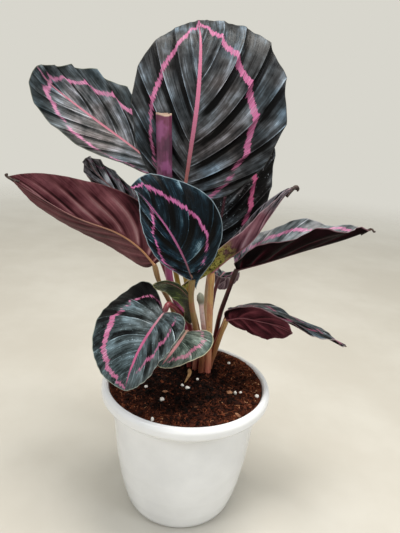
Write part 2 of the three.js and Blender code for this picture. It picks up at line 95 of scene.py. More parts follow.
def half(width, fold, curl, skew=0, base=0.8, tip=1, lobe=0.05, relief=1):
    """Half a blade: widest reach, fold off the rib and curl in degrees, outline, and how deep its pleats are.

    fold and curl are a pair, for the base and the tip, or one number for both.
    """
    fold, curl = (pair if isinstance(pair, tuple) else (pair, pair) for pair in (fold, curl))
    return dict(width=width, fold=fold, curl=curl, skew=skew, base=base, tip=tip, lobe=lobe, relief=relief)


# Each leaf as in the part. faces is the way its upper face looks, at both ends where it turns. sweep is how
# far its veins lean, pleats their count and pleat their height. The pink ring's points give the place along
# the blade, the place from rib to edge and half the ring's width, and a lone left ring is for both halves.
# dry is where a withered tip starts. look, under and stalk name the materials, and slot is the record's.
LEAF_DEFAULTS = dict(scallop=0, rib_half=1, dry=2, under="wine", slot="leaf")
LEAVES = {
    "top": dict(
        rib=[(-13, 8, 278), (-9, 6, 320), (-6, 10, 360), (-7, 26, 400), (-11, 50, 422)],
        faces=[(0, -1, 0.1), (0, -1, 0.9)],
        left=half(51, (12, 8), (-20, -10), base=1, tip=2.05, lobe=0, relief=0.4),
        right=half(70, 4, (-15, -8), base=1.1, tip=1.25, lobe=0), sweep=2.1, pleats=9, pleat=2.0,
        ruffle=(0.7, 4, 0.5), scallop=0.034, foot=(9, 33.5),
        path=[(8, 28, 150), (-2, 20, 190), (-12, 12, 240)], radii=(2.8, 2.4),
        left_ring=[(0, 0.6, 0.3), (0.25, 0.64, 0.8), (0.5, 0.7, 1.5), (0.8, 0.74, 1.2), (1, 0.5, 0.7)],
        right_ring=[(0, 0.62, 0.4), (0.2, 0.6, 1.5), (0.45, 0.65, 2.4), (0.7, 0.62, 2.2),
                    (0.88, 0.54, 1.8), (1, 0.4, 0.9)], rib_half=1.8, look="charcoal", stalk="mustard"),
    "upper_left": dict(
        rib=[(-30, 38, 296), (-61, 46, 317), (-98, 50, 340), (-131, 48, 363), (-141.6, 40, 377.4)],
        faces=[(0.1, -1, 0.5), (0, -1, 0.5)],
        left=half(31, (40, 5), (0, -10), skew=-0.1, base=0.9, tip=1.1, lobe=0, relief=0.35),
        right=half(40, 5, -10, base=0.9, tip=1.5, lobe=0), sweep=2, pleats=8, pleat=1.6,
        ruffle=(1.2, 4, 1), scallop=0.09, foot=(5, 38.5),
        path=[(0, 35, 150), (-16, 32, 207), (-23, 35, 245)], radii=(2.5, 2),
        left_ring=[(0.1, 0.9, 0.4), (0.28, 0.86, 0.5), (0.35, 0.83, 0), (0.42, 0.8, 1.3),
                   (0.5, 0.77, 1.1), (0.56, 0.75, 0), (0.64, 0.7, 1.1), (0.84, 0.6, 1.6), (0.95, 0, 1.2)],
        right_ring=[(0, 0.6, 1.2), (0.3, 0.62, 1.8), (0.7, 0.72, 1.3), (0.87, 0.62, 1.3), (0.95, 0, 1.2)],
        rib_half=1.1, look="pewter", stalk="mustard"),
    "left": dict(
        rib=[(-32, -12, 229), (-45, -14, 243), (-63, -18, 255), (-96, -26, 268), (-139, -34, 294)],
        faces=[(-0.17, 0.97, 0.1)], left=half(31, 5, 0, skew=0.15, base=0.7, tip=1.8),
        right=half(37, (48, 52), 10, skew=0.4, tip=1.9, relief=0.3), sweep=1.9, pleats=8, pleat=1.0,
        ruffle=(1, 3, 0), foot=(0, 31), path=[(-8, 20, 150), (-17, 4, 187), (-27, -9, 212)],
        radii=(2.4, 1.9), left_ring=[(0, 0.62, 0.8), (0.5, 0.66, 1.4), (1, 0.6, 0.6)], rib_half=1.4,
        dry=0.985, look="charcoal", stalk="brown", slot="leaf_underside"),
    "small_back": dict(
        rib=[(-50, 28, 262), (-72, 33, 279), (-90, 40, 292), (-103, 46, 305)], faces=[(0, -1, 0.4)],
        left=half(11, 20, 10), right=half(13, 20, 10), sweep=1.7, pleats=5, pleat=1.2, ruffle=(1.2, 3, 0),
        scallop=0.17, foot=(-1, 36.5), path=[(-8, 34, 150), (-22, 30, 200), (-40, 27, 243)],
        radii=(1.8, 1.6), left_ring=[(0, 2, 0.1)],
        right_ring=[(0, 0.7, 0.1), (0.5, 0.7, 0.3), (1, 0.6, 0.1)], rib_half=0.7, look="ash",
        stalk="maroon"),
    "centre": dict(
        rib=[(0, -43, 229), (-7, -50, 247), (-18, -56, 267), (-36, -55, 288), (-47, -50, 295)],
        faces=[(-0.2, -1, 0.1), (-0.2, -1, 0.5)], left=half(20, 38, 5, base=1.2, tip=5, lobe=0),
        right=half(34.6, 5, -20, skew=-0.74, base=7.3, tip=0.77, lobe=0.29), sweep=2, pleats=7, pleat=0.9,
        ruffle=(0.6, 3, 0), foot=(12.8, 16.2),
        path=[(12.5, 9, 137), (9, -2, 155), (4, -16, 182), (0, -32, 209)], radii=(2.6, 2.2),
        left_ring=[(0.12, 0.9, 0), (0.25, 0.84, 0.4), (0.5, 0.72, 0.6), (0.78, 0.5, 0.5),
                   (0.86, 0.46, 0)],
        right_ring=[(0.24, 0.66, 0), (0.34, 0.62, 0.8), (0.45, 0.6, 0.9), (0.6, 0.6, 1.1),
                    (0.85, 0.66, 1), (1, 0.5, 0.6)], rib_half=0.9, look="midnight", stalk="olive"),
    "lower_left": dict(
        rib=[(-20, -38, 199), (-28, -50, 189), (-35, -59, 177), (-40, -67, 164), (-44, -72, 149)],
        faces=[(-0.3, -0.8, 0.6), (-0.2, -0.9, 0.3)],
        left=half(36, (30, 50), 0, skew=0.2, base=0.7, tip=1.7),
        right=half(49, 0, -20, skew=0.09, base=0.88, tip=1.08, lobe=0.58), sweep=1.9, pleats=7, pleat=1.0,
        ruffle=(1, 3, 0), foot=(1.5, 25),
        path=[(1, 17, 137), (2, 3, 157), (-1, -8, 178), (-9, -22, 194), (-17, -33, 204)],
        radii=(2.3, 1.9),
        left_ring=[(0.14, 0.6, 0), (0.24, 0.6, 0.7), (0.36, 0.62, 1.4), (0.58, 0.62, 1.5),
                   (0.68, 0.62, 0.3), (0.72, 0.62, 0)],
        right_ring=[(0, 0.4, 0.2), (0.2, 0.6, 0.6), (0.3, 0.66, 1.6), (0.5, 0.72, 2.2),
                    (0.75, 0.75, 1.6), (1, 0.6, 0.7)], rib_half=1.45, look="slate", stalk="crimson"),
    "lower_small": dict(
        rib=[(-2, -20, 176), (-8, -34, 171), (-14, -46, 166), (-20, -54, 160)], faces=[(-0.1, -0.6, 0.8)],
        left=half(24, 10, -20, skew=0.3, base=0.7, tip=1.7, lobe=0.4), right=half(14, 10, -20), sweep=1.7,
        pleats=4, pleat=0.5, ruffle=(1.5, 2, 0), foot=(6.6, 20.1), path=[(6.5, 13, 138), (3.5, -6, 160)],
        radii=(2.1, 1.7),
        left_ring=[(0, 0.7, 0.4), (0.3, 0.66, 1.3), (0.6, 0.62, 1.5), (0.76, 0.55, 0.8), (0.86, 0.5, 0)],
        right_ring=[(0, 2, 0.1)], rib_half=1.35, look="sage", stalk="rose", under="mauve",
        slot="leaf_green"),
    "right_back": dict(
        rib=[(15, 36, 228), (21, 44, 262), (25, 52, 298), (32, 60, 333), (43, 66, 364)],
        faces=[(0.1, -1, 0.3)], left=half(36, 10, -10), right=half(40, 5, -10), sweep=2, pleats=8,
        pleat=1.6, ruffle=(1.2, 4, 0), scallop=0.02, foot=(15.2, 32.8),
        path=[(14.5, 31, 150), (13, 31, 190)], radii=(2.5, 2.1),
        left_ring=[(0, 0.62, 0.8), (0.5, 0.62, 1.4), (1, 0.6, 0.8)],
        right_ring=[(0, 0.56, 1), (0.3, 0.6, 2), (1, 0.62, 1)], rib_half=1.4, look="raven", stalk="cream"),
    "right_fold": dict(
        rib=[(15, 4, 221), (28, 7, 233), (47, 11, 249), (60, 16, 269), (73, 21, 289), (83, 26, 296)],
        faces=[(-0.7, -0.1, 0.7)], left=half(14, (55, 60), 10, skew=0.1, base=0.9, tip=3),
        right=half(17, (50, 60), (10, 30), skew=0.1, base=0.6, tip=3.4, lobe=0.6), sweep=1.7, pleats=6,
        pleat=0.8, ruffle=(1, 3, 0), foot=(18.8, 17.6), path=[(18.3, 16, 140), (16.5, 11, 185)],
        radii=(3.1, 2.6), left_ring=[(0, 0.6, 0.4), (0.5, 0.6, 0.7), (1, 0.6, 0.3)], rib_half=1.2,
        dry=0.96, look="dusk", stalk="sienna", under="rosewood", slot="leaf_underside"),
    "long_right": dict(
        rib=[(36, 4, 225), (59, 4, 233), (90, 2, 246), (120, 0, 258), (142, -2, 269)],
        faces=[(-0.3, 0, 1)], left=half(38, 25, 10, skew=0.35, base=0.5, tip=2.4, lobe=0.02),
        right=half(26, 40, (20, 10), skew=0.2, base=0.5, tip=1.9), sweep=1.8, pleats=7, pleat=1.0,
        ruffle=(3.4, 4.2, 2.2), foot=(20.5, 34.6), path=[(24, 28, 150), (26, 16, 178), (30, 8, 200)],
        radii=(2.4, 1.9),
        left_ring=[(0, 0.5, 0.8), (0.25, 0.66, 1.6), (0.45, 0.75, 1.5), (0.62, 0.86, 1.2),
                   (0.8, 0.82, 1), (1, 0.6, 0.5)], right_ring=[(0, 0.6, 0.8), (1, 0.6, 0.8)],
        rib_half=1.2, dry=0.955, look="silver", stalk="black", under="plum", slot="leaf_underside"),
    "lower_right": dict(
        rib=[(34, 10, 184), (56, 12, 187), (80, 10, 183), (108, 6, 174), (138, 0, 163)],
        faces=[(0, 0.3, 1)], left=half(25, 10, 0, skew=0.25, base=0.7, tip=1.6),
        right=half(20, 0, -20, skew=0.2, tip=1.7), sweep=1.7, pleats=6, pleat=1.0, ruffle=(2.4, 3.5, 0),
        foot=(19.6, 29), path=[(24, 24, 142), (29, 15, 166)], radii=(2.3, 2),
        left_ring=[(0, 0.6, 0.8), (1, 0.6, 0.4)],
        right_ring=[(0, 0.5, 0.8), (0.5, 0.55, 0.9), (1, 0.6, 0.3)], dry=0.97, look="ember",
        stalk="russet", under="plum"),
    "lower_front": dict(
        rib=[(31, -4, 182), (43, -9, 187), (56, -13, 187), (70, -17, 186), (85, -20, 181)],
        faces=[(0, 0.8, 0.5)], left=half(24, 0, 0, base=0.6, tip=1.35, lobe=0, relief=0.5),
        right=half(17, 0, 0, skew=0.2, base=0.7, tip=1.7, lobe=0, relief=0.5), sweep=1.7, pleats=5,
        pleat=0.7, ruffle=(1.2, 3.5, 0), foot=(21.2, 23.8), path=[(24.3, 17.8, 140), (27, 6, 160)],
        radii=(2.2, 1.9), left_ring=[(0, 0.62, 0.8), (1, 0.62, 0.6)], look="raven", stalk="tan",
        under="claret", slot="leaf_underside"),
    "rear_small": dict(
        rib=[(25, 58, 200), (31, 76, 200), (33, 92, 188), (28, 102, 172)],
        faces=[(0.3, 0.3, 1), (0.1, 0.8, 0.7)], left=half(14, 10, 10), right=half(14, 10, 10), sweep=1.6,
        pleats=6, pleat=0.8, ruffle=(1, 3.5, 0), foot=(16, 38.8), path=[(17.5, 45, 150), (21, 54, 185)],
        radii=(1.9, 1.6), left_ring=[(0, 0.62, 0.5), (1, 0.62, 0.4)], rib_half=0.8, look="slate",
        stalk="maroon", under="mauve", slot="leaf_underside"),
    "sheath": dict(
        rib=[(3, -8, 182), (-1, -14, 200), (-9, -20, 212), (-20, -24, 218), (-31, -28, 217)],
        faces=[(0.3, -0.5, 0.8), (0, -0.5, 0.8)], left=half(14, 0, 0), right=half(4, 0, 0), sweep=1.4,
        pleats=4, pleat=0.2, ruffle=(0.4, 3, 0), foot=(12.3, 22), path=[(11.5, 18, 138), (8, 5, 162)],
        radii=(1.8, 1.3), left_ring=[(0, 2, 0.1)], rib_half=0.5, look="olive", stalk="tan", under="fern",
        slot="leaf_green"),
}

# The rolled young leaf, the newest shoot and the curl of husk, as in the part
SPEAR_PATH = [(8, 27, STALK_FOOT), (8, 27, STALK_NECK), (3.5, 20, 145), (-6, 11, 173), (-18, 4, 205),
              (-22, 0, 229), (-25, -4, 266)]
SPEAR_RADII = [(0, 2.8), (0.3, 2.9), (0.6, 3.1), (0.92, 3.2), (0.95, 1.9), (1, 1.7)]
SPEAR_CORE = [(-24.3, -3, 257), (-27, -8, 298), (-28, -8, 319), (-30, -6, 347)]
ROLL_RADII = (4.5, 6.3)
ROLL_TURNS = 1.35
ROLL_EDGE = 0.12 * np.pi
ROLL_STEP = 1.8
ROLL_DIP = 0.92 * np.pi
SHOOT_PATH = [(14, 27, STALK_FOOT), (14, 27, STALK_NECK), (14.5, 24, 145), (9.5, 22, 178), (8, 23, 187),
              (6.5, 24, 195)]
SHOOT_RADII = [(0, 2.4), (0.3, 2.3), (0.6, 2.2), (0.85, 2.1), (0.89, 2.5), (0.93, 3.6), (0.97, 3.1), (1, 0.8)]
HUSK_PATH = [(0, 14, 118.4), (2.5, 8, 124.5), (2, 1, 124), (-1.5, -4.5, 118.2)]

# Loose bits on the soil: where they lie and their half sizes
PERLITE = [
    ((1.7, -13), (2.3, 1.9, 1.7)), ((-3, -9), (1.6, 1.4, 1.3)), ((-18.6, -33.8), (2.3, 2, 1.9)),
    ((10, 1), (1.4, 1.3, 1.2)), ((48.4, -13.3), (1.4, 1.2, 1.2)), ((43.5, -15.7), (1.5, 1.3, 2.2)),
    ((62.3, -17.7), (1.5, 2, 1.8)), ((-23.4, -61), (1.3, 1.3, 2)), ((-34.4, -15.4), (1.7, 1.4, 1.2)),
    ((-30, 34), (2.1, 1.7, 1.5)), ((40, 38), (1.8, 1.6, 1.4)), ((4, 58), (2, 1.6, 1.5)),
]
BARK = [
    ((38.5, -16), (2.8, 2.2, 1.6)), ((44.1, -46.4), (3, 1.6, 1.2)), ((-17, -22), (1.4, 3, 1.2)),
    ((-48, 22), (3.2, 1.8, 1.4)),
]

# The withered tips: the leaf, the tip's path and how wide it is where it leaves the blade
DRY_TIPS = {
    "long_right": ([(133, -1.5, 264), (136.5, -2, 266.2), (139.2, -2, 268.4), (141.2, -2.5, 268.6),
                    (142.8, -3, 267), (143.8, -3.5, 267.4)], 1.2),
    "left": ([(-131, -32.5, 290.4), (-135, -33.4, 292), (-138.4, -34, 293.6), (-139.6, -34.6, 295.2),
              (-138.4, -35, 296)], 1.5),
    "right_fold": ([(73, 22.2, 288.2), (76.6, 23.6, 291.6), (79.2, 25, 294.4), (81.4, 26, 295.2),
                    (83, 26.6, 293.8), (82.6, 27, 292)], 2.6),
}


def colour(code):
    """A screen colour such as "#a04060" as linear red, green, blue and alpha."""
    screen = np.array([int(code[i:i + 2], 16) for i in (1, 3, 5)]) / 255
    linear = np.where(screen <= 0.04045, screen / 12.92, ((screen + 0.055) / 1.055) ** 2.4)
    return (*linear, 1.0)


class Value:
    """What a node gives out, so that it can stand in a plain formula."""

    def __init__(self, shader, socket):
        self.shader = shader
        self.socket = socket

    def __add__(self, other):
        return self.shader.math("ADD", self, other)

    def __sub__(self, other):
        return self.shader.math("SUBTRACT", self, other)

    def __rsub__(self, other):
        return self.shader.math("SUBTRACT", other, self)

    def __mul__(self, other):
        return self.shader.math("MULTIPLY", self, other)

    def __abs__(self):
        return self.shader.math("ABSOLUTE", self)

    __radd__ = __add__
    __rmul__ = __mul__


class Shader:
    """One material's nodes, added by short calls that return a Value."""

    def __init__(self, name):
        self.material = bpy.data.materials.new(name)
        self.material.use_nodes = True
        self.tree = self.material.node_tree
        self.bsdf = self.tree.nodes["Principled BSDF"]

    def put(self, socket, value):
        if isinstance(value, Value):
            self.tree.links.new(value.socket, socket)
        else:
            socket.default_value = colour(value) if isinstance(value, str) else value

    def node(self, output, kind, inputs, **settings):
        made = self.tree.nodes.new("ShaderNode" + kind)
        for name, value in settings.items():
            setattr(made, name, value)
        for key, value in inputs.items():
            self.put(made.inputs[key], value)
        return Value(self, made.outputs[output])

    def set(self, **values):
        for name, value in values.items():
            self.put(self.bsdf.inputs[name.replace("_", " ")], value)

    def attribute(self, name):
        return self.node("Fac", "Attribute", {}, attribute_name=name)

    def math(self, operation, a, b=0):
        return self.node(0, "Math", {0: a, 1: b}, operation=operation)

    def fade(self, value, start, end):
        """0 where value is at start, 1 where it is at end, smooth between."""
        inputs = {"Value": value, "From Min": start, "From Max": end}
        return self.node("Result", "MapRange", inputs, interpolation_type="SMOOTHSTEP")

    def mix(self, factor, a, b, blend="MIX"):
        return self.node(2, "Mix", {0: factor, 6: a, 7: b}, data_type="RGBA", blend_type=blend)

    def cloud(self, place, scale, detail, roughness):
        inputs = {"Vector": place, "Scale": scale, "Detail": detail, "Roughness": roughness}
        return self.node("Fac", "TexNoise", inputs)

    def noise(self, place, detail=3, roughness=0.55):
        """Noise of 0 to 1 by two or three numbers, with blotches about 1 across."""
        return self.cloud(self.node(0, "CombineXYZ", dict(enumerate(place))), 1, detail, roughness)

    def grain(self, scale, detail=3, roughness=0.55):
        """Noise of 0 to 1 through space, with about scale blotches to the metre."""
        return self.cloud(self.node("Position", "NewGeometry", {}), scale, detail, roughness)

    def ramp(self, value, places, tones):
        """The tones at their places between 0 and 1, and blends of them between."""
        made = self.node("Color", "ValToRGB", {"Fac": value})
        elements = made.socket.node.color_ramp.elements
        while len(elements) < len(places):
            elements.new(0.5)
        for element, place, tone in zip(elements, places, tones.split()):
            element.position = place
            element.color = colour(tone)
        return made

    def bump(self, height, depth):
        """Bump from a height of 0 to 1 that stands for depth millimetres."""
        self.set(Normal=self.node("Normal", "Bump", {"Height": height, "Distance": depth * MM}))


DRY_TONE = "#3a271d"
TONE_PLACES = (0, 0.2, 0.5, 0.8, 1)


class LeafShader(Shader):
    """The nodes of a blade's face. vein counts the side veins, and out goes from 0 at the rib to 1 or -1."""

    def __init__(self, name):
        super().__init__(name)
        self.vein = self.attribute("vein")
        self.out = self.attribute("out")
        self.along = self.attribute("along")
        self.half_offset = 7 * self.math("SIGN", self.out)

    def streaks(self, per_vein, outward, detail, offset, roughness=0.62):
        """Noise drawn out along the side veins, different in the two halves."""
        place = (per_vein * self.vein, outward * self.out, self.half_offset + offset)
        return self.noise(place, detail, roughness)

    def each_vein(self, vein, spread):
        """A number of 0 to 1 for each side vein."""
        return self.noise((spread * self.math("FLOOR", vein), self.half_offset), 0)

    def edged(self, base, margin, reach):
        """The face's colour with its margin, reach millimetres wide, and the brown of a withered tip."""
        edge = self.fade(self.attribute("edge_mm"), reach, 0.25)
        return self.mix(self.attribute("dry"), self.mix(0.7 * edge, base, margin), DRY_TONE)


# The upper faces. tones go from the painted shade on a pleat's steep side to its painted glints, and foot is
# the rib at the stalk. bands is how deep that painted shade is, most between the veins of window. lit is how
# much painted light the gentle sides get, fine how strong the streaks, and hue how far the tone wanders from
# blue to red. outer tints the blade past the ring, and brink paints shade there on one side, turned to
# painted light where brink is below 0. gloom paints a shadow over the base. specks are pale dots.
UPPER_DEFAULTS = dict(hue=0.8, outer="#ffffff", outer_shading=0, side=1, base_shadow=0, specks=0)
UPPER_LOOKS = {
    "charcoal": dict(tones="#020203 #19191b #414244 #727880 #abb6c2", ring="#b5608c", rib="#b56a86",
        foot="#a56c60", margin="#3a3a37", shade_bands=1.35, window=(3.1, 5.9), lit=0.3, fine=0.6,
        outer="#eef2f4"),
    "pewter": dict(tones="#08090a #2b2f31 #626366 #989ba4 #d8dae4", ring="#c67aa2", rib="#b87486",
        foot="#ad7672", margin="#6d7568", shade_bands=0.7, window=(1, 6), lit=0.35, fine=0.8, outer="#a9b0ae"),
    "dusk": dict(tones="#040404 #2a2729 #6c6569 #a49ea6 #d2cfd6", ring="#99567c", rib="#9c7068",
        foot="#9c8460", margin="#8d8790", shade_bands=1.1, window=(3, 9), lit=0.5, fine=0.8),
    "ash": dict(tones="#050606 #2a2c2d #66656a #a6a4a9 #dcdce0", ring="#99567c", rib="#8a6a68",
        foot="#b8a598", margin="#6d6f68", shade_bands=1.1, window=(2, 9), lit=0.4, fine=0.8, hue=0.4),
    "midnight": dict(tones="#010102 #050a0e #0e1b24 #2b4452 #7f99a6", ring="#c76aa4", rib="#ac6290",
        foot="#7d5f5e", margin="#8d9fa9", shade_bands=0.6, window=(2, 6), lit=0.3, fine=0.75, specks=0.25,
        side=-1.0, outer_shading=-0.28),
    "slate": dict(tones="#050607 #232a2b #4c5658 #7c8c93 #b2c0c6", ring="#ba6890", rib="#bb5f88",
        foot="#b98a92", margin="#939e92", shade_bands=0.4, window=(2, 4), lit=0.2, fine=0.9, base_shadow=0.6,
        specks=0.35, hue=0.5, outer_shading=0.42),
    "sage": dict(tones="#161d1a #3a463f #606d66 #8b9c93 #bcc9c2", ring="#b9768f", rib="#bf8488",
        foot="#c2a08e", margin="#c7c3a0", shade_bands=0.2, window=(1, 3), lit=0.15, fine=0.9),
    "raven": dict(tones="#010101 #050506 #141415 #3f4347 #8f969c", ring="#c45a86", rib="#3a2029",
        foot="#2f2422", margin="#4f5458", shade_bands=0.7, window=(2, 6), lit=0.3, fine=0.6, specks=0.65),
    "ember": dict(tones="#020203 #14171a #383e42 #767d82 #bcc0c2", ring="#b5607f", rib="#8a4a5c",
        foot="#4a2c2c", margin="#aaa4a2", shade_bands=0.8, window=(1, 5), lit=0.4, fine=0.9),
    "silver": dict(tones="#111415 #3d4344 #767b7e #a5a8ad #d4d2d9", ring="#c47aa2", rib="#8a5a72",
        foot="#6d5a5c", margin="#a5a3a5", shade_bands=0.2, window=(1, 4), lit=0.2, fine=0.55, hue=0.5),
    "olive": dict(tones="#050604 #0f140c #202817 #3c4726 #6a7646", ring="#343d26", rib="#4f3630",
        foot="#5d3a32", margin="#7d7a5c", shade_bands=0.1, window=(1, 3), lit=0.1, fine=0.6),
}


def pleat_shade(m, look, phase, broad):
    """How deep the painted shade on the steep side of each pleat is."""
    first, last = look["window"]
    steep = m.fade(phase, 0.6, 0.78) * m.fade(phase, 1, 0.985)
    reach = m.fade(abs(m.out), 0.04, 0.3) * m.fade(abs(m.out), 1.1, 0.7) * m.attribute("relief")
    chosen = m.fade(m.vein, first - 0.2, first) * m.fade(m.vein, last + 0.2, last)
    chosen = m.math("MAXIMUM", chosen, 0.6 * m.fade(m.each_vein(m.vein, 3.71), 0.45, 0.6))
    return steep * reach * (chosen * m.fade(broad, 0.3, 0.45))


def ring_cover(m, phase, fine, broad):
    """How much of the pink ring shows. It steps from vein to vein and is ragged, broken and brushed."""
    jag = 6 * (m.streaks(5, 0.8, 2, 9) - 0.5)
    wander = 3 * (m.noise((0.8 * m.vein, 0.8 * m.half_offset), 1) - 0.5)
    from_ring = m.attribute("ring_mm") + jag + (wander - 1.4 * (0.5 - phase))
    ring_side = 3.3 * m.math("SIGN", from_ring)
    teeth = m.noise((19 * m.vein, 1.5 * m.out, m.half_offset + ring_side), 3, 0.65)
    ragged = 7 * (teeth - 0.5) * m.fade(broad, 0.25, 0.6) + 1.2 * (fine - 0.5)
    width = m.attribute("ring_width")
    inside = abs(from_ring) * m.attribute("ring_lean") - width + ragged
    broken = m.streaks(12, 4, 2, 13) - 0.16 * m.fade(m.along, 0.45, 0.1)
    brushed = m.fade(m.streaks(26, 5, 2, 17), 0.34, 0.56)
    cover = m.fade(inside, 0.35, -0.35) * m.fade(broken, 0.26, 0.4) * m.fade(width, 0, 0.4)
    return cover * (0.55 + 0.45 * brushed)


@cache
def upper_material(name):
    """A glossy upper face. Its streaks and the ring's ragged edge follow the side veins."""
    look = {**UPPER_DEFAULTS, **UPPER_LOOKS[name]}
    m = LeafShader(f"upper_{name}")
    phase = m.math("FRACT", m.vein)
    fine = m.streaks(22, 3.2, 3, 1)
    streaks = m.streaks(7, 2.6, 5, 3)
    broad = m.streaks(1.9, 1.9, 3, 5)
    # Painted shade on each pleat's steep side, painted light on its gentle side, a painted highlight on its
    # crest.
    shade = pleat_shade(m, look, phase, broad)
    lit = m.fade(phase, 0.6, 0.05) * m.fade(broad, 0.38, 0.66)
    crest = m.fade(phase, 0.045, 0) * m.fade(fine, 0.3, 0.6)
    # A painted shadow over the base of the blade's right half.
    base_shadow = m.fade(m.vein, 2.3, 0.7) * m.fade(m.out, 0.1, 0.5)
    past_ring = m.fade(m.attribute("ring_mm") + 6 * (broad - 0.5), 0, 6)
    # brink: painted shade past the ring on one side, turned to painted light where brink is below 0.
    outer_shading = past_ring * m.fade(look["side"] * m.out, 0, 0.1) * m.fade(m.along, 0.85, 0.4)
    specks = m.fade(m.grain(800, 1), 0.68, 0.74)
    # The lightness wanders with streaks and blotches, and its pale end is painted sheen.
    light = 0.42 + 0.9 * (streaks - 0.5) + look["fine"] * (fine - 0.5)
    light += 1.1 * (m.grain(75, 4) - 0.5) + 0.8 * (broad - 0.5)
    light += look["lit"] * lit + 0.45 * crest + look["specks"] * specks
    light -= look["shade_bands"] * shade + look["base_shadow"] * base_shadow + look["outer_shading"] * outer_shading
    base = m.ramp(light, TONE_PLACES, look["tones"])
    hue = m.ramp(m.grain(26, 2), (0.36, 0.5, 0.64), "#c2dcea #f6f8fa #f4e2dc")
    base = m.mix(look["hue"], base, hue, "MULTIPLY")
    base = m.mix(past_ring, base, look["outer"], "MULTIPLY")

    # Pale streaks on the ring are partly painted sheen, and the ring darkens with the pleats' painted shade.
    ring_tone = m.mix(m.fade(fine, 0.45, 0.8), look["ring"], "#dda6c2")
    ring_tone = m.mix(0.5 * shade, ring_tone, "#5c1638")
    base = m.mix(0.92 * ring_cover(m, phase, fine, broad), base, ring_tone)
    from_rib = m.attribute("rib_mm") - m.attribute("rib_width") + 1.4 * (fine - 0.5)
    in_rib = m.fade(from_rib, 0.25, -0.2)
    rib_tone = m.mix(m.fade(m.along, 0.02, 0.4), look["foot"], look["rib"])
    rib_tone = m.mix(m.fade(fine, 0.5, 0.85), rib_tone, "#cf9aa8")
    base = m.edged(m.mix(in_rib, base, rib_tone), look["margin"], 0.75)
    m.set(Base_Color=base, Roughness=0.24 + 0.2 * streaks, Specular_IOR_Level=0.1)
    m.bump(0.7 * streaks + 0.45 * fine + 0.6 * in_rib, 0.55)
    return m.material


# The undersides. tones go from dark to light. The first shadowed_veins veins get a painted shadow on one
# side.
UNDER_DEFAULTS = dict(side=1, shadowed_veins=1.8)
UNDER_LOOKS = {
    "wine": dict(tones="#170a0c #442026 #784a50 #a27e80 #bda4a2", rib="#a87848", margin="#6d4a4c",
        side=-1.0, shadowed_veins=3.4),
    "plum": dict(tones="#010000 #070203 #1d080d #471c26 #78474f", rib="#4a1822", margin="#8a6a72"),
    "claret": dict(tones="#0d0507 #37171e #6a353e #905d65 #ae888e", rib="#6d3038", margin="#8a6a72"),
    "rosewood": dict(tones="#2a1419 #5c3640 #946872 #bc98a1 #dccdd2", rib="#8f5048", margin="#a88e95"),
    "mauve": dict(tones="#33242b #54404a #85707a #a897a0 #c4b8bf", rib="#80525c", margin="#b2a3aa"),
    "fern": dict(tones="#0a0e07 #171f12 #2e3921 #56633a #818e60", rib="#553a30", margin="#7d7a5c"),
}

WORN_TONES = "#140d09 #4a4522 #a09c50 #7a6038 #34221a"
WITHERED_TONES = "#141113 #3d363b #837a81 #b9b2b8"


@cache
def under_material(name, worn):
    """A satin underside with a painted highlight along each side vein's ridge and painted shade in the hollow
    before it, and if worn a blotched base and grey end.
    """
    look = {**UNDER_DEFAULTS, **UNDER_LOOKS[name]}
    m = LeafShader(f"under_{name}_worn" if worn else f"under_{name}")
    streaks = m.streaks(12, 2.6, 5, 0, 0.6)
    broad = m.grain(45)
    from_vein = m.math("FRACT", m.vein + 0.5) - 0.5
    middle_out = m.fade(abs(m.out), 0, 0.12) * m.fade(abs(m.out), 1, 0.5)
    deep = middle_out * m.attribute("relief")
    # A painted highlight along each side vein's ridge, painted shade in the hollow before it.
    ridge_highlight = m.fade(abs(from_vein), 0.3, 0.02) * m.fade(m.each_vein(m.vein + 0.5, 3.7), 0.3, 0.55) * deep
    line = m.fade(abs(from_vein), 0.05, 0) * middle_out
    hollow = m.fade(from_vein, -0.5, -0.25) * m.fade(from_vein, -0.06, -0.2) * deep
    # A painted shadow over the first veins on one side.
    shadowed_veins = look["shadowed_veins"]
    base_shadow = m.fade(m.vein, shadowed_veins, 0.4 * shadowed_veins) * m.fade(look["side"] * m.out, 0.35, 0.9)
    light = 0.3 + 0.4 * (streaks - 0.5) + 0.7 * (broad - 0.5) + 0.38 * ridge_highlight + 0.1 * line
    base = m.ramp(light - 0.2 * hollow - 0.4 * base_shadow, TONE_PLACES, look["tones"])
    if worn:
        blotches = m.ramp(m.grain(250, 5, 0.78), (0.38, 0.45, 0.53, 0.6, 0.7), WORN_TONES)
        worn_edge = m.along + 0.3 * (broad - 0.5)
        base = m.mix(m.fade(worn_edge, 0.28, 0.16), base, blotches)
        withered = m.ramp(streaks, (0.36, 0.47, 0.57, 0.68), WITHERED_TONES)
        base = m.mix(m.fade(worn_edge, 0.6, 0.76), base, withered)
    m.set(Base_Color=m.edged(base, look["margin"], 0.8), Roughness=0.5, Specular_IOR_Level=0.04)
    m.bump(streaks + 0.3 * m.grain(1200), 0.35)
    return m.material


@cache
def rib_material(name):
    """The raised rib on an underside, browner towards the stalk."""
    look = UNDER_LOOKS[name]
    tones = look["tones"].split()
    m = Shader(f"rib_{name}")
    grain = m.grain(300, 2)
    tone = m.mix(m.fade(m.attribute("along"), 0.1, 0.8), look["rib"], tones[2])
    tone = m.mix(0.3 * grain, tone, tones[3])
    m.set(Base_Color=m.mix(m.attribute("dry"), tone, DRY_TONE), Roughness=0.4)
    m.bump(grain, 0.1)
    return m.material


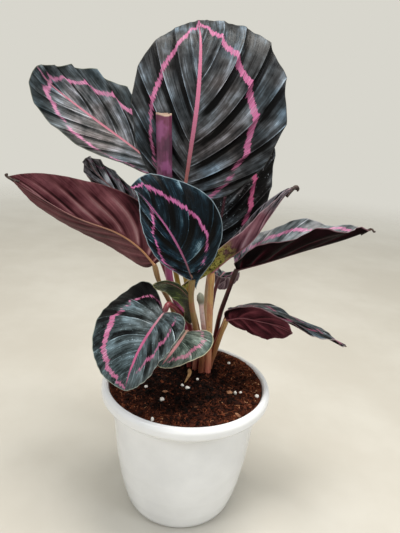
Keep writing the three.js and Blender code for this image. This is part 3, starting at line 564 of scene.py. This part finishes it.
# Stalks: foot, middle and top
STALK_TONES = {
    "mustard": "#7a4a33 #9a8232 #ad9640",
    "tan": "#96544a #ab8054 #ac8a5a",
    "brown": "#6e4032 #7a5c3e #876a45",
    "maroon": "#6a3030 #562330 #4a2230",
    "olive": "#8a4f3c #86653e #7d6a3e",
    "crimson": "#7a3a32 #6a2430 #541824",
    "rose": "#a05c50 #b07f6c #b88d80",
    "cream": "#b07a55 #d8c49a #4a2238",
    "sienna": "#b8645a #d0a474 #bf9a5e",
    "black": "#5a2a24 #3a171a #2a1014",
    "russet": "#8a4030 #96502f #6a2a2c",
    "spear": "#7a3440 #8a3a62 #9a4c78",
    "shoot": "#b98a78 #efd4d2 #f0dcdc",
}

# The tones that take the record's maroon slot
MAROON_TONES = ("maroon", "crimson", "black")


@cache
def stalk_material(name):
    """A smooth stalk with fine lines along it, the pale ones painted highlights."""
    m = Shader(f"stalk_{name}")
    foot = STALK_TONES[name].split()[0]
    along = m.attribute("along")
    tone = m.ramp(along, (0.1, 0.5, 0.92), STALK_TONES[name])
    lines = m.noise((14 * m.attribute("around"), 5 * along))
    tone = m.mix(0.6 * m.fade(lines, 0.47, 0.7), tone, foot)
    # Painted highlights: the pale streaks between the lines.
    tone = m.mix(0.6 * m.fade(lines, 0.52, 0.36), tone, tone, "SCREEN")
    tone = m.mix(0.25 * m.fade(m.grain(420, 2), 0.6, 0.75), tone, "#3a1c1c")
    blush = m.fade(m.grain(48, 2), 0.48, 0.62)
    tone = m.mix(0.45 * blush, tone, m.mix(0.35, foot, "#b04a5c"))
    if name == "shoot":
        tone = m.mix(m.fade(along, 0.86, 0.9), tone, "#8f9484")
    m.set(Base_Color=tone, Roughness=0.38, Specular_IOR_Level=0.45, Subsurface_Weight=0.08,
          Subsurface_Radius=(0.002, 0.001, 0.0006))
    m.bump(lines, 0.15)
    return m.material


def roll_material(inside):
    """The rolled leaf: purple outside, with fine lines along it, and orange-tan inside."""
    m = Shader("roll_inside" if inside else "roll_outside")
    along = m.attribute("along")
    lines = m.noise((16 * m.attribute("around"), 4 * along), 4, 0.6)
    low, high = ("#8a4a30", "#c98a5c") if inside else ("#4b1a35", "#6a3357")
    tone = m.mix(m.fade(lines, 0.3, 0.7), low, high)
    if not inside:
        blotches = m.grain(70)
        tone = m.mix(0.35 * m.fade(along, 0.7, 1), tone, "#6a1f30")
        tone = m.mix(0.6 * m.fade(blotches, 0.5, 0.64), tone, "#945082")
        tone = m.mix(0.7 * m.fade(blotches, 0.48, 0.36), tone, "#36122a")
    m.set(Base_Color=m.mix(m.fade(along, 0.978, 0.99), tone, "#c7ab98"), Roughness=0.42)
    m.bump(lines, 0.2)
    return m.material


def pot_material():
    """Glossy white moulded plastic with faint waviness and a few scuffs."""
    m = Shader("white_plastic")
    scuffs = m.grain(160, 6, 0.7)
    tone = m.mix(m.fade(m.grain(18, 4), 0.3, 0.75), "#dfe1e4", "#eceef1")
    tone = m.mix(0.2 * m.fade(scuffs, 0.62, 0.8), tone, "#dcdad4")
    m.set(Base_Color=tone, Roughness=0.1 + 0.12 * scuffs, Specular_IOR_Level=0.5, Subsurface_Weight=0.15,
          Subsurface_Radius=(0.004, 0.004, 0.0035))
    m.bump(m.grain(60, 2), 0.08)
    return m.material


def soil_material(name):
    """Potting mix, coloured by each grain's own tint."""
    m = Shader(name)
    grain = m.grain(700, 4, 0.7)
    tint = 0.8 * m.attribute("tint") + 0.25 * grain
    tone = m.ramp(tint, (0.14, 0.34, 0.54, 0.74, 0.95), "#060403 #28130d #542a1b #84482f #b98d68")
    m.set(Base_Color=tone, Roughness=0.85, Specular_IOR_Level=0.1)
    m.bump(grain, 0.5)
    return m.material


def grain_material(name, low, high, scale, roughness):
    """A rough natural grain, blotched between two tones."""
    m = Shader(name)
    blotches = m.grain(scale, 4, 0.7)
    m.set(Base_Color=m.mix(m.fade(blotches, 0.3, 0.7), low, high), Roughness=roughness)
    m.bump(blotches, 0.4)
    return m.material


def link(name, data):
    """An object with that mesh, lamp or camera, in the scene."""
    made = bpy.data.objects.new(name, data)
    bpy.context.scene.collection.objects.link(made)
    return made


def add_mesh(name, points, faces, *materials, numbers=None, facts=(), sharp=None, smooth=True):
    """A mesh object from millimetre points.

    numbers are the faces' materials, facts what its materials read at each point, and sharp is in degrees.
    """
    mesh = bpy.data.meshes.new(name)
    mesh.from_pydata((points * MM).tolist(), [], np.asarray(faces, object).tolist())
    for material in materials:
        mesh.materials.append(material)
    if numbers is not None:
        mesh.polygons.foreach_set("material_index", numbers.astype(np.int32))
    for key, values in dict(facts).items():
        mesh.attributes.new(key, "FLOAT", "POINT").data.foreach_set("value", values.astype(np.float32))
    mesh.polygons.foreach_set("use_smooth", np.full(len(mesh.polygons), smooth))
    if sharp is not None:
        mesh.set_sharp_from_angle(angle=np.radians(sharp))
    mesh.update()
    return link(name, mesh)


def fit_in(made, slot, *nodes):
    """The piece rides with the part and stands for the CAD nodes named, which it hides. slot is not used."""
    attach(made, "root")
    if nodes:
        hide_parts(*nodes)


class Curve:
    """A smooth curve through points, measured by its length."""

    def __init__(self, points, steps=120):
        given = np.array(points, float)
        p = np.vstack([2 * given[0] - given[1], given, 2 * given[-1] - given[-2]])
        t = np.linspace(0, 1, steps, endpoint=False)[:, None]
        spans = []
        for a, b, c, d in zip(p, p[1:], p[2:], p[3:]):
            cubic = (-a + 3 * b - 3 * c + d) * t ** 3 + (2 * a - 5 * b + 4 * c - d) * t ** 2
            spans.append(0.5 * (2 * b + (c - a) * t + cubic))
        self.points = np.vstack([*spans, given[-1:]])
        steps_along = np.linalg.norm(np.diff(self.points, axis=0), axis=1)
        self.distances = np.concatenate([[0], np.cumsum(steps_along)])
        self.length = self.distances[-1]

    def at(self, u):
        place = np.clip(u, 0, 1) * self.length
        return np.stack([np.interp(place, self.distances, self.points[:, i]) for i in range(3)], -1)

    def tangent(self, u):
        return unit(self.at(np.clip(u, 0, 1) + 0.01) - self.at(np.clip(u, 0, 1) - 0.01))

    def outward(self, u, turn):
        """The direction away from the curve at u, turned round it."""
        tangent = self.tangent(u)
        side = unit(np.cross(tangent, (1, 0, 0)))
        return np.cos(turn)[..., None] * side + np.sin(turn)[..., None] * np.cross(side, tangent)


def unit(vectors):
    return vectors / np.linalg.norm(vectors, axis=-1, keepdims=True)


def dot(a, b):
    return np.sum(a * b, -1, keepdims=True)


def turns(count):
    """Angles evenly round a circle."""
    return np.linspace(0, 2 * np.pi, count, endpoint=False)


def pleat_wave(phase):
    """A pleat's height, from a sharp crest at each whole phase to a hollow nearer to the next one."""
    part = np.mod(phase, 1) ** 1.35
    return 1.2 - 2 * np.sin(np.pi * part) ** 0.85


def blade_surface(leaf, s, v):
    """A blade's middle surface, its upper normal and what its materials read, for a grid of s and v."""
    curve = Curve(leaf["rib"])
    s, v = np.broadcast_arrays(s[:, None], v[None, :])
    is_left = v < 0
    side = np.where(is_left, -1, 1)
    out = np.abs(v)
    vein = leaf["pleats"] * s

    def shape(key):
        return np.where(is_left, leaf["left"][key], leaf["right"][key])

    def angle(key):
        left, right = (start + (end - start) * u for start, end in (leaf["left"][key], leaf["right"][key]))
        return np.radians(np.where(is_left, left, right))

    def ring_value(row):
        left, right = (np.array(leaf[key], float).T for key in ("left_ring", "right_ring"))
        return np.where(is_left, np.interp(s, left[0], left[row]), np.interp(s, right[0], right[row]))

    along = s + VEIN_SLANT * out * 4 * s * (1 - s)
    bulge = np.sin(np.pi * np.clip(along, 0, 1))
    wave = pleat_wave(vein)
    taper = shape("base") + (shape("tip") - shape("base")) * along
    reach = shape("width") * bulge ** taper * (1 + shape("skew") * np.cos(np.pi * along))
    reach = reach * (1 + leaf["scallop"] * shape("relief") * (0.4 + 1.3 * s ** 2) * wave)
    at_edge = (1 - np.cos(np.pi * along)) / 2 - 1.8 * shape("lobe") * bulge * (1 - along) ** 2
    at_rib = along ** leaf["sweep"]
    x = at_rib + (at_edge - at_rib) * out ** 1.2

    u = np.clip(x, 0, 1)
    tangent = curve.tangent(u)
    point = curve.at(u) + ((x - u) * curve.length)[..., None] * tangent
    first, last = (unit(np.array(leaf["faces"][end], float)) for end in (0, -1))
    up = first + (last - first) * u[..., None]
    up = unit(up - dot(up, tangent) * tangent)
    across = np.cross(tangent, up)
    fold, curl = angle("fold"), angle("curl") / shape("width")
    curl = np.where(np.abs(curl) < 1e-6, 1e-6, curl)
    turn = fold + curl * reach * out
    point = point + (side * (np.sin(turn) - np.sin(fold)) / curl)[..., None] * across
    point = point + ((np.cos(fold) - np.cos(turn)) / curl)[..., None] * up
    tilt = np.where(v == 0, 0, turn)
    normal = np.cos(tilt)[..., None] * up - (side * np.sin(tilt))[..., None] * across

    by_vein = np.gradient(point, v[0], axis=1)
    by_blade = np.gradient(point, s[:, 0], axis=0)
    ring = ring_value(1)
    ring_way = unit(by_blade + (side * np.gradient(ring, s[:, 0], axis=0))[..., None] * by_vein)
    vein_size = np.linalg.norm(by_vein, axis=-1)
    squeeze = np.linalg.norm(np.cross(by_vein, unit(by_blade)), axis=-1)

    pleat_reach = np.clip(out / 0.3, 0, 1) ** 1.3 * (1 - 0.6 * out ** 3) * bulge ** 0.6
    ruffle_height, ruffle_count, ruffle_phase = leaf["ruffle"]
    ruffle = ruffle_height * np.sin(2 * np.pi * ruffle_count * s + ruffle_phase + np.where(is_left, 1.3, 0))
    crinkle = 0.35 * shape("relief") * out ** 5 * np.sin(2 * np.pi * 2.6 * vein + 2 * side)
    lift = leaf["pleat"] * shape("relief") * pleat_reach * wave + (out ** 3 * ruffle + crinkle) * bulge ** 0.7
    point = point + lift[..., None] * normal

    rib_width = leaf["rib_half"] * np.clip(0.62 + 1.1 * u - 1.75 * u ** 3, 0, 1)
    rib_width = rib_width - 3 * np.clip(u - 0.86, 0, 1)
    return point, normal, {
        "vein": vein, "out": v, "along": u, "relief": shape("relief"),
        "rib_mm": out * squeeze, "edge_mm": (1 - out) * squeeze, "rib_width": rib_width,
        "ring_mm": (out - ring) * vein_size, "ring_width": ring_value(2),
        "ring_lean": np.linalg.norm(np.cross(by_vein, ring_way), axis=-1) / vein_size,
        "dry": np.clip((u - leaf["dry"]) / 0.02, 0, 1),
    }


def quads(here, after):
    """The faces between rows of points, given with the points after them in their rows."""
    return np.stack([here[:-1], after[:-1], after[1:], here[1:]], -1).reshape(-1, 4)


def ring_faces(rows, sides):
    """The faces between rows of points where each row closes into a ring."""
    corner = np.arange(rows * sides).reshape(rows, sides)
    return quads(corner, np.roll(corner, -1, axis=1))


TURNED_OVER = [0, 3, 2, 1]


def sheet(upper, lower, materials=(0, 0, 0)):
    """Points, faces and face materials of a thin sheet: its upper grid, its lower grid and its edge."""
    rows, columns = upper.shape[:2]
    below = rows * columns
    corner = np.arange(below).reshape(rows, columns)
    grid = quads(corner[:, :-1], corner[:, 1:])
    rim = np.concatenate([corner[0, :], corner[1:, -1], corner[-1, -2::-1], corner[-2:0:-1, 0]])
    after = np.roll(rim, -1)
    parts = [grid, grid[:, ::-1] + below, np.stack([after, rim, rim + below, after + below], -1)]
    points = np.vstack([upper.reshape(-1, 3), lower.reshape(-1, 3)])
    return points, np.vstack(parts), np.repeat(materials, [len(part) for part in parts])


def raised_rib(leaf, along, point, normal):
    """Rings of points for the rib under a blade, pressed flat where they would pass through it."""
    places = np.linspace(0, 1, len(along))
    radius = np.interp(places, [0, 0.15, 0.6, 1], [leaf["radii"][1] * 0.95, 1.3, 0.8, 0.25])[:, None, None]
    across = unit(np.cross(Curve(leaf["rib"]).tangent(along), normal))[:, None]
    point, normal = point[:, None], normal[:, None]
    turn = turns(RIB_SIDES)[None, :, None]
    ring = point - 0.35 * radius * normal + 0.72 * radius * (np.cos(turn) * across - np.sin(turn) * normal)
    return ring - np.maximum(0, dot(ring - point, normal)) * normal


def blade_piece(name, leaf):
    """A leaf's blade: both faces, the edge between them and the rib that stands out of the underside."""
    rows = leaf["pleats"] * ROWS_PER_VEIN + 1
    v = np.concatenate([-BLADE_COLUMNS[::-1], [0], BLADE_COLUMNS])
    middle = len(v) // 2
    point, normal, facts = blade_surface(leaf, np.linspace(0.003, 0.997, rows), v)
    offset = BLADE_THICKNESS / 2 * (1 - 0.55 * np.abs(v) ** 8)[None, :, None] * normal
    points, faces, numbers = sheet(point + offset, point - offset, (0, 1, 1))
    rib = raised_rib(leaf, facts["along"][:, middle], point[:, middle], normal[:, middle])
    rib_faces = ring_faces(rows, RIB_SIDES)
    faces = np.vstack([faces, rib_faces + len(points)])
    points = np.vstack([points, rib.reshape(-1, 3)])
    numbers = np.concatenate([numbers, np.full(len(rib_faces), 2)])
    for key, values in facts.items():
        flat = values.reshape(-1)
        facts[key] = np.concatenate([flat, flat, np.repeat(values[:, middle], RIB_SIDES)])
    under = leaf["under"]
    materials = upper_material(leaf["look"]), under_material(under, name == "right_fold"), rib_material(under)
    made = add_mesh(f"leaf_{name}", points, faces, *materials, numbers=numbers, facts=facts, sharp=50)
    fit_in(made, leaf["slot"], f"blade_{name}")


def rod_piece(name, curve, stations, fineness, tone, slot, node):
    """A closed round rod along a curve, with its radius at each station."""
    steps, sides = fineness
    u = np.linspace(0, 1, steps)[:, None]
    radius = np.interp(u, *zip(*stations))
    points = curve.at(u) + radius[..., None] * curve.outward(u, turns(sides)[None, :])
    walls = ring_faces(steps, sides)[:, TURNED_OVER].tolist()
    ends = [list(range(sides)), list(range(sides * steps - 1, sides * (steps - 1) - 1, -1))]
    around = np.abs(np.linspace(-1, 1, sides, endpoint=False))
    facts = {"along": np.repeat(u, sides), "around": np.tile(around, steps)}
    points = points.reshape(-1, 3)
    fit_in(add_mesh(name, points, walls + ends, stalk_material(tone), facts=facts, sharp=60), slot, node)


def stalk_piece(name, leaf):
    """A leaf's stalk from its foot in the soil to the swollen joint under the blade."""
    x, y = leaf["foot"]
    curve = Curve([(x, y, STALK_FOOT), (x, y, STALK_NECK), *leaf["path"], leaf["rib"][0]])
    low, high = leaf["radii"]
    joint = [(15, 1), (11, 1.12), (7, 1.22), (3, 1.2), (0, 1)]
    stations = [(0, low), (0.25, low * 1.02), (0.75, low + (high - low) * 0.75)]
    stations += [(1 - below / curve.length, high * swell) for below, swell in joint]
    slot = "stalk_maroon" if leaf["stalk"] in MAROON_TONES else "stalk_tan"
    rod_piece(f"petiole_{name}", curve, stations, STALK_MESH, leaf["stalk"], slot, f"stalk_{name}")


def sheet_grid(rows, columns):
    """Places along a sheet from 0 to 1 and across it from -1 to 1."""
    return np.meshgrid(np.linspace(0, 1, rows), np.linspace(-1, 1, columns), indexing="ij")


def spear_piece():
    """The rolled leaf: one sheet wound round its core, open at the top."""
    curve = Curve(SPEAR_CORE)
    s, v = sheet_grid(*ROLL_MESH)
    turn = ROLL_EDGE - np.pi * ROLL_TURNS * (v + 1)
    from_dip = np.arccos(np.cos(turn - ROLL_DIP))
    u = s * (1 - 0.02 * np.exp(-((from_dip / 0.8) ** 2)) * s - 0.008 * (v + 1) * s)
    low, high = ROLL_RADII
    radius = low + (high - low) * np.minimum(1, 2.5 * s) - ROLL_STEP * (v + 1) / 2
    radius = radius + 0.12 * np.sin(9 * turn + 5 * s)
    outward = curve.outward(u, turn)
    surface = curve.at(u) + radius[..., None] * outward
    offset = ROLL_THICKNESS / 2 * outward
    points, faces, numbers = sheet(surface + offset, surface - offset, (0, 1, 0))
    facts = {"along": np.tile(s.reshape(-1), 2), "around": np.tile(v.reshape(-1), 2)}
    materials = roll_material(False), roll_material(True)
    made = add_mesh("spear_leaf", points, faces, *materials, numbers=numbers, facts=facts, sharp=50)
    fit_in(made, "spear", "spear_roll")


def curled_strip(name, path, width, roll, twist, material):
    """A thin strip along a path, rolled in at its edges. width is for a place along it."""
    curve = Curve(path)
    s, v = sheet_grid(*STRIP_MESH)
    outward = curve.outward(s, v * roll + twist * s)
    surface = curve.at(s) + (width(s) * (0.9 + 0.12 * np.sin(11 * s + 3 * v)))[..., None] * outward
    points, faces, _ = sheet(surface, surface - STRIP_THICKNESS * outward)
    return add_mesh(name, points, faces, material)


def husk_piece():
    """The dry papery curl on the soil."""
    def width(s):
        return 1.8 * np.sin(np.pi * (0.08 + 0.88 * s)) ** 0.7

    papery = grain_material("dry_husk", "#7a5230", "#c39a66", 380, 0.6)
    fit_in(curled_strip("dry_husk", HUSK_PATH, width, 2.2, 1.5, papery), "husk", "husk")


def dry_tips():
    """The shrivelled ends of three leaves, each a small curl past the blade."""
    withered = grain_material("dry_tip", "#140d0c", "#54403a", 700, 0.7)
    for name, (path, start) in DRY_TIPS.items():
        made = curled_strip(f"dry_tip_{name}", path, lambda s: start * (1 - 0.35 * s), 2.4, 2.2, withered)
        fit_in(made, "leaf_underside")


def rounded(profile, radius=1.2, steps=5):
    """The profile with each corner turned into a short arc."""
    p = np.array(profile, float)
    out = [p[0]]
    for before, corner, after in zip(p, p[1:], p[2:]):
        back, ahead = before - corner, after - corner
        cut = min(radius, 0.4 * np.linalg.norm(back), 0.4 * np.linalg.norm(ahead))
        start, end = corner + cut * unit(back), corner + cut * unit(ahead)
        for t in np.linspace(0, 1, steps):
            out.append((1 - t) ** 2 * start + 2 * t * (1 - t) * corner + t ** 2 * end)
    return np.array([*out, p[-1]])


def lathe(profile, sectors):
    """Points and faces of a closed turned shape whose profile starts and ends on the axis."""
    turn = turns(sectors)
    body = profile[1:-1]
    ring = np.stack([np.cos(turn), np.sin(turn), np.zeros(sectors)], -1)
    points = body[:, None, :1] * ring + np.array([0, 0, 1]) * body[:, None, 1:]
    points = np.vstack([points.reshape(-1, 3), (0, 0, profile[0][1]), (0, 0, profile[-1][1])])
    bottom = len(body) * sectors
    faces = ring_faces(len(body), sectors).tolist()
    for i in range(sectors):
        j = (i + 1) % sectors
        faces.append([j, i, bottom])
        faces.append([bottom - sectors + i, bottom - sectors + j, bottom + 1])
    return points, faces


def cut_holes(made):
    """Cuts the drain holes through the pot's floor."""
    profile = [(0, -5), (DRAIN_RADIUS, -5), (DRAIN_RADIUS, 5), (0, 5)]
    drill, drill_faces = lathe(np.array(profile, float), DRAIN_SIDES)
    turn = turns(DRAIN_COUNT)
    places = DRAIN_CIRCLE * np.stack([np.cos(turn), np.sin(turn), np.zeros(DRAIN_COUNT)], -1)
    faces = [[corner + i * len(drill) for corner in face] for i in range(DRAIN_COUNT) for face in drill_faces]
    drills = add_mesh("drills", (drill + places[:, None]).reshape(-1, 3), faces, smooth=False)
    cut = made.modifiers.new("drain", "BOOLEAN")
    cut.object = drills
    cut.solver = "EXACT"
    whole = bpy.data.meshes.new_from_object(made.evaluated_get(bpy.context.evaluated_depsgraph_get()))
    made.modifiers.clear()
    made.data = whole
    bpy.data.objects.remove(drills)


def pot_piece():
    points, faces = lathe(rounded(POT_OUTSIDE + POT_RIM + POT_INSIDE), POT_SECTORS)
    made = add_mesh("plastic_pot", points, faces, pot_material(), sharp=40)
    cut_holes(made)
    fit_in(made, "pot", "pot")


def eased(value, start, end):
    """0 where value is at start, 1 where it is at end, smooth between."""
    part = np.clip((value - start) / (end - start), 0, 1)
    return part * part * (3 - 2 * part)


def soil_height(x, y):
    """The soil's surface: the part's low dome with bumps, banked against the back of the rim."""
    edge = POT_INSIDE[0][0]
    dome = SOIL_CROWN * (1 - (x * x + y * y) / (edge * edge))
    bumps = np.sin(x / 5.1 + 1.3) * np.sin(y / 4.3 + 0.4) + np.sin((x + y) / 7)
    bank = SOIL_BANK * eased(np.hypot(x, y), 50, 66) * eased(y, -20, 15)
    return SOIL_EDGE + dome + SOIL_BUMP * bumps + bank


def soil_piece():
    """The body of the soil, with a rough top."""
    edge = POT_INSIDE[0][0] - CLEARANCE
    low = FLOOR_HEIGHT + CLEARANCE
    wall = [(radius - CLEARANCE, height) for radius, height in POT_INSIDE[:-2]]
    top = [(radius, SOIL_EDGE) for radius in np.linspace(edge, 0, SOIL_RINGS)[1:]]
    profile = [(0, low), (FLOOR_RADIUS - CLEARANCE, low), *wall[::-1], *top]
    points, faces = lathe(np.array(profile, float), SOIL_SECTORS)
    x, y, z = points.T
    on_top = z > SOIL_EDGE - 1e-3
    rough = 0.8 * np.sin(x * 0.63 + np.sin(y * 0.41)) * np.sin(y * 0.57 + np.sin(x * 0.37))
    rough = rough + 0.45 * np.sin(x * 1.9 + 2 * np.sin(y * 0.9)) * np.sin(y * 2.1 + 1.5 * np.sin(x * 0.7))
    rough = rough + RNG.normal(0, 0.22, len(x))
    fall = np.clip((edge - np.hypot(x, y)) / 2, 0, 1)
    points[on_top, 2] = (soil_height(x, y) + (rough - 0.5) * fall - 0.3)[on_top]
    tint = np.clip(0.15 + 0.3 * (np.hypot(x, y) / edge) ** 3 + RNG.normal(0, 0.12, len(x)), 0, 1)
    made = add_mesh("potting_mix", points, faces, soil_material("potting_mix"), facts={"tint": tint})
    fit_in(made, "soil", "soil")


def random_disc(count, edge):
    radius = edge * np.sqrt(RNG.random(count))
    turn = RNG.random(count) * 2 * np.pi
    return radius * np.cos(turn), radius * np.sin(turn)


def reddish(x, y):
    """How red-brown the mix is: the coir shows at the back, the right and along the front edge."""
    edge = POT_INSIDE[1][0]
    away = np.clip((0.75 * x + 0.5 * y) / edge, 0, 1)
    return np.clip(0.55 * (np.hypot(x, y) / edge) ** 3 + 0.35 * away - 0.05, 0, 1)


def clumps(x, y):
    """How much lighter or darker the mix is from clump to clump."""
    return 0.2 * np.sin(0.31 * x + 1.7 * np.sin(0.17 * y)) * np.sin(0.27 * y + 1.4 * np.sin(0.21 * x + 1))


def turned(shape, spin, tilt):
    """Each small shape tilted about x and spun about z."""
    x, y, z = np.moveaxis(shape, -1, 0)
    cos, sin = np.cos(tilt)[:, None], np.sin(tilt)[:, None]
    y, z = cos * y - sin * z, sin * y + cos * z
    cos, sin = np.cos(spin)[:, None], np.sin(spin)[:, None]
    return np.stack([cos * x - sin * y, sin * x + cos * y, z], -1)


def loose_piece(name, material, shapes, faces, tint, sharp=None):
    """Many small shapes on the soil as one mesh, each with its own tint."""
    count, corners = shapes.shape[:2]
    all_faces = (faces + corners * np.arange(count)[:, None, None]).reshape(-1, faces.shape[1])
    facts = {"tint": np.repeat(tint, corners)}
    made = add_mesh(name, shapes.reshape(-1, 3), all_faces, soil_material(material), facts=facts, sharp=sharp)
    fit_in(made, "soil")


def crumbs_piece():
    """Thousands of small angular crumbs on the soil."""
    count = CRUMBS
    x, y = random_disc(count, LOOSE_EDGE)
    size = np.exp(RNG.normal(np.log(0.78), 0.55, count)).clip(0.25, 2.8)
    corners = np.array([(1, 0, 0), (-1, 0, 0), (0, 1, 0), (0, -1, 0), (0, 0, 1), (0, 0, -1)], float)
    faces = np.array([(0, 2, 4), (2, 1, 4), (1, 3, 4), (3, 0, 4), (2, 0, 5), (1, 2, 5), (3, 1, 5), (0, 3, 5)])
    shape = corners * RNG.uniform(0.6, 1.3, (count, 6, 1)) * size[:, None, None]
    stretch = [RNG.uniform(low, high, count) for low, high in ((0.7, 1.7), (0.6, 1.1), (0.4, 0.8))]
    shape = shape * np.stack(stretch, -1)[:, None]
    shape = turned(shape, RNG.random(count) * 2 * np.pi, RNG.normal(0, 0.5, count))
    centre = np.stack([x, y, soil_height(x, y) - 0.15 + RNG.uniform(-0.25, 0.35, count)], -1)
    tint = np.clip(-0.05 + 0.65 * reddish(x, y) + clumps(x, y) + RNG.beta(1.1, 4, count) * 0.95, 0, 1)
    tint = tint * (1 - 0.3 * np.clip(size - 1, 0, 1))
    loose_piece("soil_crumbs", "crumbs", shape + centre[:, None], faces, tint, 35)


def fibres_piece():
    """Short bent strands of coir lying on the soil."""
    steps, sides = 5, 4
    x, y = random_disc(FIBRES, LOOSE_EDGE - 2.5)
    keep = RNG.random(FIBRES) < 0.12 + 1.1 * reddish(x, y)
    x, y = x[keep], y[keep]
    count = len(x)
    length = RNG.uniform(1.5, 6, count)[:, None]
    turn = RNG.random(count) * 2 * np.pi
    bend = RNG.normal(0, 0.7, count)
    t = np.linspace(-0.5, 0.5, steps)
    heading = turn[:, None] + bend[:, None] * t
    px = x[:, None] + length * t * np.cos(heading)
    py = y[:, None] + length * t * np.sin(heading)
    inside = np.minimum(1, LOOSE_EDGE / np.hypot(px, py))
    px, py = px * inside, py * inside
    arch = RNG.uniform(0.1, 1, count)[:, None] * (1 - 4 * t ** 2)
    centre = np.stack([px, py, soil_height(px, py) + 0.15 + arch], -1)
    radius = RNG.uniform(0.12, 0.24, count)[:, None, None]
    side = np.stack([-np.sin(heading), np.cos(heading), np.zeros_like(heading)], -1) * radius
    up = np.array([0, 0, 1]) * radius
    shape = np.stack([centre + side, centre + up, centre - side, centre - up], 2).reshape(count, -1, 3)
    tint = np.clip(0.26 + 0.5 * RNG.random(count) ** 2 + 0.3 * reddish(x, y) + clumps(x, y), 0, 1)
    loose_piece("coir_fibres", "coir", shape, ring_faces(steps, sides)[:, TURNED_OVER], tint)


@cache
def ball():
    """Points and faces of a finely divided ball."""
    made = bmesh.new()
    bmesh.ops.create_icosphere(made, subdivisions=4, radius=1)
    made.verts.index_update()
    points = np.array([vertex.co for vertex in made.verts])
    faces = [[vertex.index for vertex in face.verts] for face in made.faces]
    made.free()
    return points, faces


def bit_piece(name, node, slot, number, place, size, material):
    """A rough rounded grain, turned by its number and seated in the soil as in the part."""
    points, faces = ball()
    seeds = RNG.uniform(-1, 1, (5, 3)) * 3.2
    swell = sum(np.sin(points @ seed + i) for i, seed in enumerate(seeds)) / 5
    spin = Matrix.Rotation(0.3 * np.sin(number * 1.7), 3, "X") @ Matrix.Rotation(number * 2.4, 3, "Z")
    points = (points * (0.93 + 0.16 * swell)[:, None] * size) @ np.array(spin).T
    points = points + (*place, soil_height(*place) + 0.35 * size[2])
    fit_in(add_mesh(name, points, faces, material), slot, node)


def bits():
    perlite = grain_material("perlite", "#dcd8d0", "#fffefa", 900, 0.8)
    bark = grain_material("bark", "#5e3422", "#b0805c", 600, 0.75)
    for i, (place, size) in enumerate(PERLITE):
        bit_piece(f"perlite_grain_{i + 1}", f"perlite_{i + 1}", "perlite", i, place, size, perlite)
    for i, (place, size) in enumerate(BARK):
        bit_piece(f"bark_chip_{i + 1}", f"bark_{i + 1}", "bark", i, place, size, bark)


def stage():
    """A wide pale floor under an even pale surround."""
    turn = turns(FLOOR_SIDES)
    disc = np.stack([FLOOR_REACH * np.cos(turn), FLOOR_REACH * np.sin(turn), np.full(FLOOR_SIDES, -0.2)], -1)
    m = Shader("pale_floor")
    distance = m.node("Value", "VectorMath", {0: m.node("Position", "NewGeometry", {})}, operation="LENGTH")
    tone = m.mix(m.fade(m.grain(5, 5, 0.6), 0.35, 0.7), "#bfbbb2", "#c8c5bd")
    m.set(Base_Color=tone, Roughness=0.5, Specular_IOR_Level=0.3, Alpha=m.fade(distance, 2.6, 0.8))
    add_mesh("floor", disc, [list(range(FLOOR_SIDES))], m.material)
    world = bpy.data.worlds.new("surround")
    bpy.context.scene.world = world
    world.use_nodes = True
    world.node_tree.nodes["Background"].inputs["Color"].default_value = colour("#d8d6cd")


def area_light(name, place, size, power, tint):
    """A soft square light at a place in metres that shines at the middle of the plant."""
    lamp = bpy.data.lights.new(name, "AREA")
    lamp.shape = "SQUARE"
    lamp.size = size
    lamp.energy = power
    lamp.color = colour(tint)[:3]
    way = Vector((0, 0, 0.24)) - Vector(place)
    turn = way.to_track_quat("-Z", "Y").to_matrix().to_4x4()
    link(name, lamp).matrix_world = Matrix.Translation(place) @ turn


# The photograph's camera: where it stands, how far it looks down and leans, and its focal length in pixels
CAMERA_PLACE = (0.005, -0.369, 0.336)
CAMERA_PITCH = 16.5
CAMERA_ROLL = 4.1
FOCAL_PIXELS = 460
FRAME_HEIGHT = 533


def camera():
    lens = bpy.data.cameras.new("camera")
    lens.sensor_width = 36
    lens.lens = FOCAL_PIXELS * lens.sensor_width / FRAME_HEIGHT
    lens.clip_start = 0.01
    look_down = Matrix.Rotation(np.radians(90 - CAMERA_PITCH), 4, "X")
    lean = Matrix.Rotation(np.radians(CAMERA_ROLL), 4, "Z")
    made = link("camera", lens)
    made.matrix_world = Matrix.Translation(CAMERA_PLACE) @ look_down @ lean
    bpy.context.scene.camera = made


camera()
stage()
area_light("overhead", (0.1, -0.05, 1.3), 0.45, 12.5, "#fffaf2")
area_light("left_window", (-0.85, -0.75, 1.05), 0.35, 4, "#f2f6ff")
area_light("right_window", (0.8, -0.6, 1), 0.35, 3.5, "#eef4ff")
bpy.context.scene.view_settings.view_transform = "Standard"

for leaf_name, leaf_shape in LEAVES.items():
    whole_leaf = {**LEAF_DEFAULTS, "right_ring": leaf_shape["left_ring"], **leaf_shape}
    blade_piece(leaf_name, whole_leaf)
    stalk_piece(leaf_name, whole_leaf)
spear_piece()
rod_piece("spear_petiole", Curve(SPEAR_PATH), SPEAR_RADII, ROD_MESH, "spear", "spear", "stalk_spear")
rod_piece("young_shoot", Curve(SHOOT_PATH), SHOOT_RADII, ROD_MESH, "shoot", "shoot", "shoot")
husk_piece()
dry_tips()
pot_piece()
soil_piece()
crumbs_piece()
fibres_piece()
bits()
